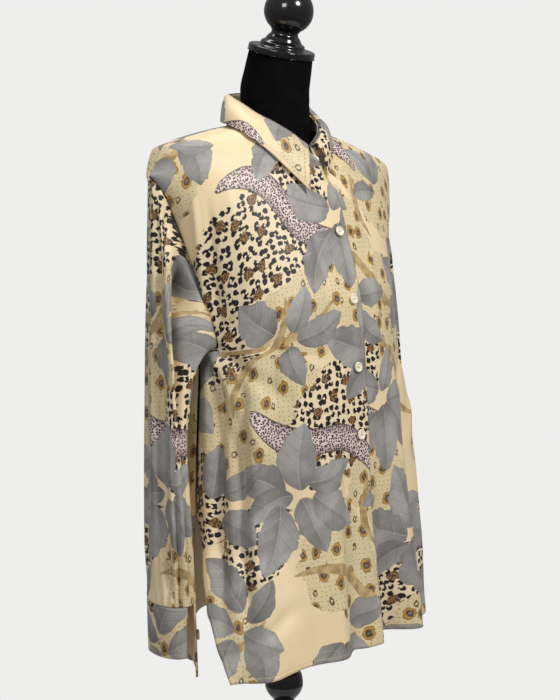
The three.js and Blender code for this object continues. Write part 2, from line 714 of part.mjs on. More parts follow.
function formRing(drop, columns) {
  return Array.from({ length: columns }, (_, j) => {
    const turn = radians((360 * (j + 0.5)) / columns);
    const power = 2 / 2.2;
    const share = Math.abs(Math.sin(turn)) ** power;
    const depth = Math.abs(Math.cos(turn)) ** power;
    const x = -Math.sign(Math.sin(turn)) * form.half(drop) * share;
    const face = Math.cos(turn) > 0 ? "front" : "back";
    const fall = drop < UNDERARM_DROP ? shoulderFall(drop, x < 0, Math.abs(x) / level.wideBack(drop)) : 0;
    return [x, mix(form.middle(drop), form[face](drop), depth), NECK_Z - FORM_CLEAR - drop - fall];
  });
}
const neckRing = (z, columns) =>
  Array.from({ length: columns }, (_, j) => {
    const turn = radians((360 * (j + 0.5)) / columns);
    const lean = Math.tan(radians(CAP_TILT)) * ease((z - 1200) / (NECK_TOP_Z - 1200)) * Math.cos(turn);
    const radius = neck.radius(z);
    return [radius * Math.sin(turn), neck.y(z) - radius * Math.cos(turn), z - radius * lean];
  });
const FORM_ROWS = [
  0, 1.2, 4, 9, 16, 26, 40, 58, 84, 114, 146, 180, 216, 252, 288, 330, 370, 410, 450, 490, 530, FORM_FOOT_DROP,
];
const body = loft(FORM_ROWS.map((drop) => formRing(drop, 32)));
const neckSolid = loft([1120, 1165, 1195, 1224, 1250, NECK_TOP_Z].map((z) => neckRing(z, 32)));
add("dress_form", geometryFrom(solidOf(body).add(solidOf(neckSolid))), jersey);

const cap = add("neck_cap", turned(CAP_PROFILE, 24), lacquer);
cap.position.set(0, neck.y(NECK_TOP_Z), NECK_TOP_Z + SEAM_GAP + 0.1);
cap.rotation.x = radians(CAP_TILT);
add("stand_post", turned(POST_PROFILE, 18), lacquer);
add("stand_base", turned(BASE_PROFILE, 36), lacquer);

export default blouse;
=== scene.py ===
"""A long-sleeved printed blouse on a limbless dress form, seen from its front right corner."""
import json

import bmesh
import bpy
import numpy as np
from mathutils import Matrix

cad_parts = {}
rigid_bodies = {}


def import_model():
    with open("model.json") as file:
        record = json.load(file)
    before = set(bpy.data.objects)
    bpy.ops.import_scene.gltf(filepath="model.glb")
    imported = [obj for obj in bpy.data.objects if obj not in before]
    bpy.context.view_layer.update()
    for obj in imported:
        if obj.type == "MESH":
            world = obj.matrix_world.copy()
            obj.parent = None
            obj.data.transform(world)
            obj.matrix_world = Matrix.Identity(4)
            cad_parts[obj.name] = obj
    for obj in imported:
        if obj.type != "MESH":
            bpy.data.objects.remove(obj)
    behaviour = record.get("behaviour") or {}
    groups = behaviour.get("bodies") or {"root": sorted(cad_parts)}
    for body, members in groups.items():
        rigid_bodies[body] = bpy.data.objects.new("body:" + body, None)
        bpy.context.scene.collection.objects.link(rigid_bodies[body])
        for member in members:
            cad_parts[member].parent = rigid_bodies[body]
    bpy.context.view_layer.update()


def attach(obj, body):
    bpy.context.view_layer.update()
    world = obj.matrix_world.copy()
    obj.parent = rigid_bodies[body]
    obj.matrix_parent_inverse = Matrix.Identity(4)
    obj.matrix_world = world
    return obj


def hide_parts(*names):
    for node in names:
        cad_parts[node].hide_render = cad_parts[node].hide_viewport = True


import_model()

# The camera stands 2 m off the wearer's right front at collar height, level, with its view shifted
# down to the hem, as a product picture of a top is taken.
FOCAL_PX, PICTURE_PX, SENSOR_MM = 1520, 700, 36
camera = bpy.data.objects.new("camera", bpy.data.cameras.new("camera"))
bpy.context.scene.collection.objects.link(camera)
bpy.context.scene.camera = camera
camera.location = (-1.4102, -1.4602, 1.125)
camera.rotation_euler = (np.pi / 2, 0, np.radians(-44))
camera.data.lens = FOCAL_PX * SENSOR_MM / PICTURE_PX
camera.data.shift_x, camera.data.shift_y = -4 / PICTURE_PX, -185 / PICTURE_PX
bpy.context.scene.view_settings.view_transform = "Standard"

# The two fronts: satin-faced printed cloth, cut to meet the back at the side seams and to lap at
# centre front. The hem and the open vents are turned under and stitched.
NECK_Z, HEM_DROP, UNDERARM_DROP, NECK_HALF = 1185.0, 665.0, 303.0, 58.0
FRONT_NECK_DEEP, BACK_NECK_DEEP, SETTLED_DROP = 54, 8, 58
LAP, LAP_STEP, SEAM = 17.0, 1.1, 0.3
MM = 0.001


def ease(t):
    """Smooth step: 3t^2 - 2t^3, held at 0 and 1 outside them."""
    t = np.clip(t, 0, 1)
    return t * t * (3 - 2 * t)


def mix(a, b, t):
    """Straight line from a to b."""
    return a + (b - a) * t


def curves(names, rows):
    """Smooth curves through a table's columns over its first one: cubic pieces whose slope at each
    row is the harmonic mean of the slopes beside it, or 0 at a turn, so that none swings past."""
    rows = np.array(rows, float)
    xs = rows[:, 0]
    step = np.diff(xs)

    def through(ys):
        rise = np.diff(ys) / step
        before, after = rise[:-1], rise[1:]
        safe = np.where(before * after > 0, before + after, 1)
        inner = np.where(before * after > 0, 2 * before * after / safe, 0)
        slope = np.concatenate([rise[:1], inner, rise[-1:]])

        def at(x):
            x = np.clip(x, xs[0], xs[-1])
            i = np.clip(np.searchsorted(xs, x, side="right") - 1, 0, len(step) - 1)
            t = (x - xs[i]) / step[i]
            return (ys[i] * (2 * t**3 - 3 * t**2 + 1) + slope[i] * step[i] * (t**3 - 2 * t**2 + t)
                    + ys[i + 1] * (3 * t**2 - 2 * t**3) + slope[i + 1] * step[i] * (t**3 - t**2))
        return at
    return {name: through(rows[:, k + 1]) for k, name in enumerate(names.split())}


# By drop below the neck: how far the cloth reaches to the front and back, the middle line, the half
# widths, how far the sides fall, how far the shoulder's tip rolls down, and how square the section is.
body = curves("front back middle wide_left wide_right wide_back fall_left fall_right tip "
              "square square_right", [
    [0, 16, 16, 16, 216, 218, 217, 58, 42, 30, 2.2, 2.2],
    [4, -17, 58, 16, 216, 218, 217, 58, 42, 28, 2.2, 2.2],
    [10, -33, 69, 16, 215, 217, 216, 57, 41, 25, 2.2, 2.2],
    [20, -45, 79, 16, 212, 215, 213, 55, 40, 20, 2.2, 2.2],
    [35, -56, 86, 15, 207, 211, 209, 52, 38, 14, 2.2, 2.2],
    [60, -68, 94, 13, 199, 203, 201, 46, 34, 7, 2.2, 2.2],
    [100, -84, 101, 9, 186, 190, 188, 36, 27, 2, 2.2, 2.2],
    [146, -99, 105, 4, 173, 177, 175, 25, 19, 0, 2.2, 2.2],
    [190, -113, 106, 0, 163, 167, 165, 15, 12, 0, 2.2, 2.2],
    [231, -124, 106, -3, 158, 160, 159, 8, 6, 0, 2.2, 2.3],
    [285, -130, 104, -8, 158, 157, 157, 1, 1, 0, 2.2, 2.4],
    [317, -132, 103, -10, 162, 158, 160, 0, 0, 0, 2.2, 2.5],
    [402, -138, 102, -15, 171, 165, 168, 0, 0, 0, 2.2, 2.8],
    [485, -144, 103, -20, 176, 172, 174, 0, 0, 0, 2.3, 3.0],
    [530, -149, 105, -22, 178, 177, 176, 0, 0, 0, 2.3, 3.2],
    [560, -153, 106, -24, 179, 189, 177, 0, 1, 0, 2.3, 3.3],
    [600, -158, 108, -25, 181, 203, 178, 0, 4, 0, 2.3, 3.5],
    [665, -165, 111, -27, 184, 232, 180, 0, 11, 0, 2.3, 3.8],
])
# Where the side edges lie, in degrees round from the centre line. Past drop 530 the vents open.
side_edge = curves("right left back", [
    [0, 90, 90, 90], [50, 84, 84, 82], [100, 86, 84, 80], [150, 86, 84, 80], [205, 83, 82, 82],
    [245, 81, 81, 84], [283, 79, 80, 87], [303, 90, 90, 90], [490, 90, 90, 90], [530, 88, 88, 90],
    [550, 86, 87, 90], [589, 81, 85, 90], [625, 72, 82, 90], [665, 57, 76, 89],
])


def shoulder_fall(drop, right, share):
    """How much lower the cloth lies at a share of its half width: a power of the share, and a roll at
    the shoulder's tip."""
    slope = np.where(right, body["fall_right"](drop) * share**1.6, body["fall_left"](drop) * share**1.15)
    return slope + body["tip"](drop) * ease((share - 0.88) / 0.12)


def sheet_point(front, drop, turn):
    """The cloth before folds: a superellipse at each drop, `turn` degrees round from centre."""
    right = turn < 0
    half, square = body["wide_back"](drop), body["square"](drop)
    if front:
        half = np.where(right, body["wide_right"](drop), body["wide_left"](drop))
        square = np.where(right, body["square_right"](drop), square)
    power = 2 / square
    angle = np.radians(np.minimum(90, np.abs(turn)))
    share, depth = np.sin(angle) ** power, np.cos(angle) ** power
    return np.stack([np.sign(turn) * half * share,
                     mix(body["middle"](drop), body["front" if front else "back"](drop), depth),
                     NECK_Z - drop - shoulder_fall(drop, right, share)], -1)


def walk(front, drop, hand):
    """Turns from 0 to 90 degrees on one side, and how far round the cloth each lies, in mm."""
    turns = hand[..., None] * 90 * np.linspace(0, 1, 73)
    line = sheet_point(front, np.broadcast_to(drop[..., None], turns.shape), turns)[..., :2]
    steps = np.hypot(*np.moveaxis(np.diff(line, axis=-2), -1, 0))
    return turns, np.concatenate([np.zeros(drop.shape + (1,)), np.cumsum(steps, -1)], -1)


def between(x, xs, ys):
    """Straight-line interpolation, row by row, of ys over rising xs."""
    i = np.clip((xs < x[..., None]).sum(-1), 1, xs.shape[-1] - 1)[..., None]
    take = lambda table, k: np.take_along_axis(table, k, -1)[..., 0]
    low, high = take(xs, i - 1), take(xs, i)
    return mix(take(ys, i - 1), take(ys, i), np.clip((x - low) / np.maximum(high - low, 1e-9), 0, 1))


def turn_at(front, drop, around):
    """The turn at a distance round from the centre line: the walk read backwards."""
    turns, reach = walk(front, drop, np.where(around < 0, -1.0, 1.0))
    return between(np.abs(around), reach, turns)


def reach_to(front, drop, turn):
    """How far round the cloth a turn lies, in mm."""
    turns, reach = walk(front, drop, np.where(turn < 0, -1.0, 1.0))
    return between(np.abs(turn), np.abs(turns), reach)


def creased(around, drop, creases):
    """Sum of soft creases. Each runs straight from one place on the cloth to another, falls off to its
    sides as a bell curve of its width, and fades in and out at its ends."""
    rise = np.zeros_like(around)
    for x0, d0, x1, d1, wide, deep in creases:
        run = np.hypot(x1 - x0, d1 - d0)
        along = ((around - x0) * (x1 - x0) + (drop - d0) * (d1 - d0)) / run**2
        off = ((around - x0) * (d1 - d0) - (drop - d0) * (x1 - x0)) / run
        fade = ease(along * 3 + 0.5) * ease((1 - along) * 3 + 0.5)
        rise += deep * fade * np.exp(-((off / (wide * (0.6 + 0.5 * np.clip(along, 0, 1)))) ** 2))
    return rise


def hanging(around, drop, folds):
    """The large folds: each a bell curve across, that drifts and deepens from its top to the hem."""
    rise = np.zeros_like(around)
    for top, bottom, start, full, wide, deep in folds:
        middle = mix(top, bottom, (drop - start) / (HEM_DROP - start))
        rise += deep * ease((drop - start) / (full - start)) * np.exp(-(((around - middle) / wide) ** 2))
    return rise


def raised(front, drop, around, rise):
    """The cloth at a distance round, moved out level by `rise`."""
    turn = turn_at(front, drop, around)
    step = np.minimum(0.5, 90 - np.abs(turn) + 0.01)
    a, b = sheet_point(front, drop, turn - step), sheet_point(front, drop, turn + step)
    across = (b - a)[..., :2] / np.hypot(*np.moveaxis((b - a)[..., :2], -1, 0))[..., None]
    way = -1 if front else 1
    out = np.stack([-way * across[..., 1], way * across[..., 0], 0 * turn], -1)
    return sheet_point(front, drop, turn) + out * rise[..., None]


def top_drop(front, x):
    """The drop of the top edge: 0 along the shoulder, and a power curve round the neck hole."""
    share = np.minimum(1, np.abs(x) / NECK_HALF)
    return FRONT_NECK_DEEP * (1 - share**1.2) if front else BACK_NECK_DEEP * (1 - share**4) ** 0.6


def lap_lift(right, drop, around):
    """How far a front is raised where the two lap. The left one falls back at the undone neck."""
    near = ease(1 - np.abs(around) / 60)
    sink = 8 * ease((100 - drop) / 50) * ease((drop - 6) / 30) * ease(1 - np.abs(around) / 75)
    return LAP_STEP * near if right else -LAP_STEP * near - sink - 12 * ease((drop - 500) / 165) * near


ROWS = np.interp(np.linspace(0, 26, 261), np.arange(27), [
    0, 1.2, 4, 9, 16, 26, 40, 58, 80, 106, 136, 168, 200, 232, 260, 283, 303, 332, 370, 410, 450, 490,
    530, 565, 600, 634, 665])


def panel(which, columns, folds, creases):
    """A panel of the body on a grid of rows by drop and columns by distance round. Above the
    settled drop the rows close up to the neck hole and shoulder seam."""
    front, hand = which != "back", -1.0 if which == "right" else 1.0
    across = np.broadcast_to(np.linspace(0, 1, columns + 1), (len(ROWS), columns + 1))

    def place(drop):
        """Distance round at a drop, from the lap, or the back's right side, to the side edge."""
        side = reach_to(front, drop, hand * side_edge[which](drop)) - SEAM
        if not front:
            return mix(-side, side, across[: len(drop)])
        lap = mix(-2, LAP, ease((drop - 50) / 60)) if which == "right" else LAP
        return hand * mix(-lap, side, across[: len(drop)])

    top = np.zeros((1, columns + 1))
    for _ in range(12):
        x = sheet_point(front, top, turn_at(front, top, place(top)))[..., 0]
        top = top_drop(front, x)
    rows = np.broadcast_to(ROWS[:, None], across.shape)
    drop = np.where(rows < SETTLED_DROP, mix(top, SETTLED_DROP, rows / SETTLED_DROP), rows)
    around = place(drop)
    rise = hanging(around, drop, folds) + creased(around, drop, creases)
    if front:
        rise = rise + lap_lift(which == "right", drop, around)
    side = np.abs(place(drop)[:, -1:] - around) if front else np.minimum(
        np.abs(around[:, -1:] - around), np.abs(around - around[:, :1]))
    seam = np.exp(-((side / 3.0) ** 2)) * ease((535 - drop) / 20)
    points = raised(front, drop, around, rise - 1.1 * seam)
    points[0, :, 1] += -SEAM if front else SEAM
    outward = slice(None) if which == "left" else slice(None, None, -1)
    hem = HEM_DROP - drop
    edge = np.where(drop > 520, np.minimum(hem, side + 40 * ease((545 - drop) / 25)), 99)
    if front:
        edge = np.minimum(edge, np.abs(around - around[:, :1]))
    return points[:, outward] * MM, around[:, outward], edge[:, outward]


def down_length(points):
    """Length of the cloth from each grid point down its column to the last row, in metres."""
    steps = np.linalg.norm(np.diff(points, axis=0), axis=-1)
    return np.concatenate([np.cumsum(steps[::-1], 0)[::-1], np.zeros((1, points.shape[1]))])


def grid_mesh(name, points, joined=False):
    """A mesh of quads over a grid of points; joined closes the last column to the first."""
    rows, columns = points.shape[:2]
    i, j = np.meshgrid(np.arange(rows - 1), np.arange(columns if joined else columns - 1), indexing="ij")
    after = (j + 1) % columns
    here, below = i * columns, (i + 1) * columns
    faces = np.stack([here + j, below + j, below + after, here + after], -1).reshape(-1, 4)
    mesh = bpy.data.meshes.new(name)
    mesh.vertices.add(rows * columns)
    mesh.vertices.foreach_set("co", points.reshape(-1).astype(np.float32))
    mesh.loops.add(faces.size)
    mesh.loops.foreach_set("vertex_index", faces.reshape(-1).astype(np.int32))
    mesh.polygons.add(len(faces))
    mesh.polygons.foreach_set("loop_start", np.arange(0, faces.size, 4, dtype=np.int32))
    mesh.polygons.foreach_set("use_smooth", np.ones(len(faces), bool))
    mesh.update(calc_edges=True)
    mesh.validate()
    return mesh, faces


def leaf_half(a):
    """Half width of the widest leaf over its length, from stalk to tip: a power of each end."""
    a = np.clip(a, 0, 1)
    return 0.98 * a**0.66 * (1 - a) ** 0.86


# The print repeats every 600 by 640 mm. Sprays of leaves: middle, the way they fan, the length of a
# leaf, how many and over how many degrees.
TILE = np.array([0.60, 0.64])
SPRAYS = [
    (0.07, 0.13, 70, 0.080, 7, 300), (0.185, 0.255, 200, 0.074, 6, 280),
    (0.385, 0.085, 120, 0.082, 7, 320), (0.495, 0.225, 20, 0.080, 6, 300),
    (0.275, 0.385, 80, 0.084, 7, 320), (0.560, 0.430, 160, 0.078, 6, 280),
    (0.105, 0.545, 330, 0.082, 7, 310), (0.425, 0.545, 250, 0.080, 6, 300),
    (0.325, 0.225, 300, 0.066, 4, 160), (0.025, 0.335, 100, 0.068, 4, 170),
    (0.270, 0.590, 40, 0.066, 4, 200), (0.545, 0.600, 290, 0.064, 3, 120),
    (0.165, 0.395, 10, 0.058, 3, 110), (0.440, 0.360, 130, 0.062, 3, 120),
]
dice = np.random.default_rng(11)


def spray(x, y, turn, size, count, spread):
    """Leaves fanned round a short stem: place, heading, length and tone of each."""
    fan = np.linspace(-0.5, 0.5, count)
    heading = turn + spread * fan + dice.uniform(-16, 16, count)
    off = dice.uniform(0.004, 0.028, count)
    side = np.radians(heading + dice.uniform(-60, 60, count))
    return np.stack([x + off * np.cos(side), y + off * np.sin(side), heading,
                     size * dice.uniform(0.72, 1.15, count), dice.uniform(0, 1, count)], -1)


LEAVES = np.concatenate([spray(*row) for row in SPRAYS])
# Strokes, drawn under the leaves: start, heading, length, half width, bend, and 0 for a branch or 1
# for a ribbon of fine speckles.
STROKES = np.array([
    (0.02, 0.20, 15, 0.20, 0.0065, 0.018, 0), (0.26, 0.29, -20, 0.24, 0.0075, 0.020, 0),
    (0.35, 0.62, 195, 0.22, 0.0070, 0.016, 0), (0.47, 0.45, 60, 0.20, 0.0065, -0.018, 0),
    (0.50, 0.05, 140, 0.18, 0.0060, 0.014, 0), (0.20, 0.50, 60, 0.16, 0.0055, 0.012, 0),
    (0.06, 0.60, 250, 0.17, 0.0060, 0.014, 0), (0.40, 0.30, 100, 0.15, 0.0055, 0.012, 0),
    (0.215, 0.160, -30, 0.20, 0.0190, 0.020, 1), (0.405, 0.395, 150, 0.21, 0.0185, -0.018, 1),
    (0.575, 0.575, 215, 0.17, 0.0170, 0.016, 1),
])
# Patches: middle, half sizes and turn. Spots are black, open ones; drops lie among fine dots.
SPOT_PATCHES = [
    (0.255, 0.075, 0.100, 0.066, 20), (0.320, 0.140, 0.055, 0.060, 0), (0.085, 0.425, 0.110, 0.070, -30),
    (0.350, 0.475, 0.100, 0.062, 40), (0.560, 0.145, 0.064, 0.095, 10), (0.500, 0.530, 0.070, 0.052, -20),
    (0.020, 0.245, 0.058, 0.070, 0), (0.180, 0.600, 0.075, 0.050, 10), (0.215, 0.335, 0.060, 0.045, 30),
]
DROP_PATCHES = [
    (0.540, 0.320, 0.095, 0.105, 0), (0.120, 0.210, 0.100, 0.085, 30), (0.225, 0.500, 0.115, 0.080, -20),
    (0.430, 0.410, 0.080, 0.100, 20), (0.150, 0.020, 0.100, 0.075, 0), (0.420, 0.200, 0.080, 0.080, 30),
    (0.330, 0.620, 0.090, 0.065, 10), (0.560, 0.020, 0.080, 0.070, 0), (0.330, 0.300, 0.060, 0.070, 0),
]


def to_tile(delta):
    """An offset on the cloth brought to the nearest repeat."""
    return delta - np.round(delta / TILE) * TILE


def patch_field(flat, patches):
    """How deep each point lies inside the nearest patch, in metres: 1 less its distance in half sizes."""
    depth = np.full(flat.shape[:-1], -1.0)
    for x, y, wide, high, turn in patches:
        c, s = np.cos(np.radians(turn)), np.sin(np.radians(turn))
        d = to_tile(flat - (x, y))
        u, v = (d[..., 0] * c + d[..., 1] * s) / wide, (d[..., 1] * c - d[..., 0] * s) / high
        depth = np.maximum(depth, (1 - np.hypot(u, v)) * min(wide, high))
    return depth


def local(corners, shift, motif):
    """Corners seen from a motif's start, along and across its heading, in its own lengths."""
    heading = np.radians(motif[..., 2])[..., None]
    d = corners - (motif[..., None, :2] + shift[..., None, :])
    along = (d[..., 0] * np.cos(heading) + d[..., 1] * np.sin(heading)) / motif[..., 3][..., None]
    across = (d[..., 1] * np.cos(heading) - d[..., 0] * np.sin(heading)) / motif[..., 3][..., None]
    return along, across


def topmost(corners, motifs, covers, layers):
    """For each face, the last few motifs that cover it, as their own coordinates at its corners. A
    face keeps each one's straight coordinates, so its outline stays sharp inside the face."""
    middle = corners.mean(1)
    shift = np.round((middle[:, None] - motifs[None, :, :2]) / TILE) * TILE
    along, across = local(middle[:, None, None], shift, motifs[None])
    order = np.where(covers(along[..., 0], across[..., 0], motifs[None]), np.arange(len(motifs)), -1)
    found = []
    for _ in range(layers):
        best = order.argmax(1)
        has = order.max(1) >= 0
        rows = np.arange(len(best))
        a, b = local(corners, shift[rows, best], motifs[best])
        found.append((np.where(has[:, None], a, -1.0), np.where(has[:, None], b, 1.0), motifs[best]))
        order[rows, best] = -1
    return found


def lay_print(mesh, faces, flat, edge):
    """Lays the print on a mesh: its flat coordinates as a UV map, and where each motif lies."""
    flat = flat.reshape(-1, 2)
    corners = flat[faces]
    uv = mesh.uv_layers.new(name="cloth")
    uv.data.foreach_set("uv", corners.reshape(-1).astype(np.float32))

    def corner_note(name, *values):
        note = mesh.attributes.new(name, "FLOAT_VECTOR", "CORNER")
        packed = np.stack([np.broadcast_to(v, corners.shape[:2]) for v in values], -1)
        note.data.foreach_set("vector", packed.reshape(-1).astype(np.float32))

    near = lambda a, b, m: (a > -0.04) & (a < 1.04) & (np.abs(b) < leaf_half(a) + 0.14)
    for k, (a, b, m) in enumerate(topmost(corners, LEAVES, near, 3)):
        corner_note("leaf_%d" % k, a, b, m[:, 4:5])
    bend = lambda a, m: m[..., 5] / m[..., 3] * np.sin(2 * np.pi * a)
    over = lambda a, b, m: ((a > -0.03) & (a < 1.03)
                            & (np.abs(b - bend(a, m)) < (m[..., 4] + 0.004) / m[..., 3]))
    (a, b, m), = topmost(corners, STROKES, over, 1)
    side = (b - bend(a, m[:, None])) * (m[:, 3] / m[:, 4])[:, None]
    corner_note("stroke", a, side, m[:, 6:7])
    patches = mesh.attributes.new("patches", "FLOAT_VECTOR", "POINT")
    patches.data.foreach_set("vector", np.stack([
        patch_field(flat, SPOT_PATCHES), patch_field(flat, DROP_PATCHES), edge.reshape(-1) * MM], -1)
        .reshape(-1).astype(np.float32))


def ink(red, green, blue):
    """A colour from the screen's 0 to 255 to the render's linear light."""
    c = np.array([red, green, blue]) / 255
    return (*np.where(c <= 0.04045, c / 12.92, ((c + 0.055) / 1.055) ** 2.4), 1)


class Shade:
    """One socket of a material. Arithmetic on it adds Math nodes."""

    def __init__(self, socket):
        self.socket = socket
        self.tree = socket.id_data

    def node(self, kind, settings={}, inputs={}, output=0):
        """Adds a node, sets it up, joins or fills its sockets and gives one of its outputs."""
        return node(self.tree, kind, settings, inputs, output)

    def math(self, operation, *values):
        return self.node("ShaderNodeMath", {"operation": operation}, dict(enumerate(values)))

    def __add__(self, other):
        return self.math("ADD", self, other)

    def __sub__(self, other):
        return self.math("SUBTRACT", self, other)

    def __rsub__(self, other):
        return self.math("SUBTRACT", other, self)

    def __mul__(self, other):
        return self.math("MULTIPLY", self, other)

    def __pow__(self, other):
        return self.math("POWER", self, other)

    def __abs__(self):
        return self.math("ABSOLUTE", self)

    __radd__, __rmul__ = __add__, __mul__

    def over(self, edge, soft):
        """0 below the edge and 1 above it, with a soft step between."""
        return self.node("ShaderNodeMapRange", {"interpolation_type": "SMOOTHSTEP"},
                         {0: self, 1: edge - soft, 2: edge + soft, 3: 0.0, 4: 1.0})

    def under(self, edge, soft):
        return 1 - self.over(edge, soft)

    def least(self, other):
        return self.math("MINIMUM", self, other)

    def most(self, other):
        return self.math("MAXIMUM", self, other)

    def vector(self, operation, other=(0, 0, 0)):
        return self.node("ShaderNodeVectorMath", {"operation": operation}, {0: self, 1: other})

    def length(self):
        return self.node("ShaderNodeVectorMath", {"operation": "LENGTH"}, {0: self}, "Value")

    def split(self):
        return [self.node("ShaderNodeSeparateXYZ", {}, {0: self}, k) for k in range(3)]


def node(tree, kind, settings={}, inputs={}, output=0):
    """Adds a node to a material: its settings first, then its sockets' values or links."""
    new = tree.nodes.new(kind)
    for key, value in settings.items():
        setattr(new, key, value)
    for key, value in inputs.items():
        if isinstance(value, Shade):
            tree.links.new(value.socket, new.inputs[key])
        else:
            new.inputs[key].default_value = value
    return Shade(new.outputs[output])


def blend(under, over, mask):
    """One colour laid over another through a mask."""
    tree = mask.tree
    return node(tree, "ShaderNodeMix", {"data_type": "RGBA"}, {0: mask, 6: under, 7: over}, 2)


def surface(name, roughness, **constants):
    """A new material: its node tree and its shader, with what is the same all over set on it."""
    material = bpy.data.materials.new(name)
    material.use_nodes = True
    shader = material.node_tree.nodes["Principled BSDF"]
    shader.inputs["Roughness"].default_value = roughness
    for key, value in constants.items():
        shader.inputs[key.replace("_", " ")].default_value = value
    return material, material.node_tree, shader


def wire(tree, shader, **links):
    """Joins what changes over the surface to the shader's sockets."""
    for key, value in links.items():
        tree.links.new(value.socket, shader.inputs[key.replace("_", " ")])


def bumped(height, strength):
    """The surface's direction as small heights in metres turn it."""
    sockets = {"Strength": strength, "Distance": 1.0, "Height": height}
    return node(height.tree, "ShaderNodeBump", {}, sockets)


def flat_place(tree):
    """Where a point lies on the cloth before it was sewn, in metres."""
    return node(tree, "ShaderNodeUVMap", {"uv_map": "cloth"})


def cells(place, scale, **more):
    """Voronoi cells on the flat cloth: distance to the nearest middle, a random colour a cell, and
    that middle's place."""
    distance = node(place.tree, "ShaderNodeTexVoronoi", {"voronoi_dimensions": "2D"},
                    {"Vector": place, "Scale": scale, **more})
    return [Shade(distance.socket.node.outputs[k]) for k in ("Distance", "Color", "Position")]


def cloud(place, scale, detail=2.0, **more):
    return node(place.tree, "ShaderNodeTexNoise", {"noise_dimensions": "2D"},
                {"Vector": place, "Scale": scale, "Detail": detail, **more})


def weave_height(place):
    """Plain weave: threads each way as sine waves, and small puckers of the cloth as soft noise."""
    x, y, _ = place.split()
    threads = (x * 7000).math("SINE", x * 7000) + (y * 7000).math("SINE", y * 7000)
    return threads * 0.00001 + cloud(place, 60, 3.0) * 0.0006


def painted(colour, *coats):
    """A colour under coats of others, laid on in order, each through its mask."""
    for coat, mask in coats:
        colour = blend(colour, coat, mask)
    return colour


# Cells a metre of each kind of motif on the cloth, and the steps that set some apart from others.
DOTS, DROPS, SPOTS, ROSETTES, CRUMBS, SPECKLES = 170.0, 35.0, 106.0, 30.0, 400.0, 300.0
NOTCH, RINGS_APART, ROSETTES_APART = 0.0025, (0.0146, 0.0143, 0.0), (0.0093, 0.0211, 0.0)


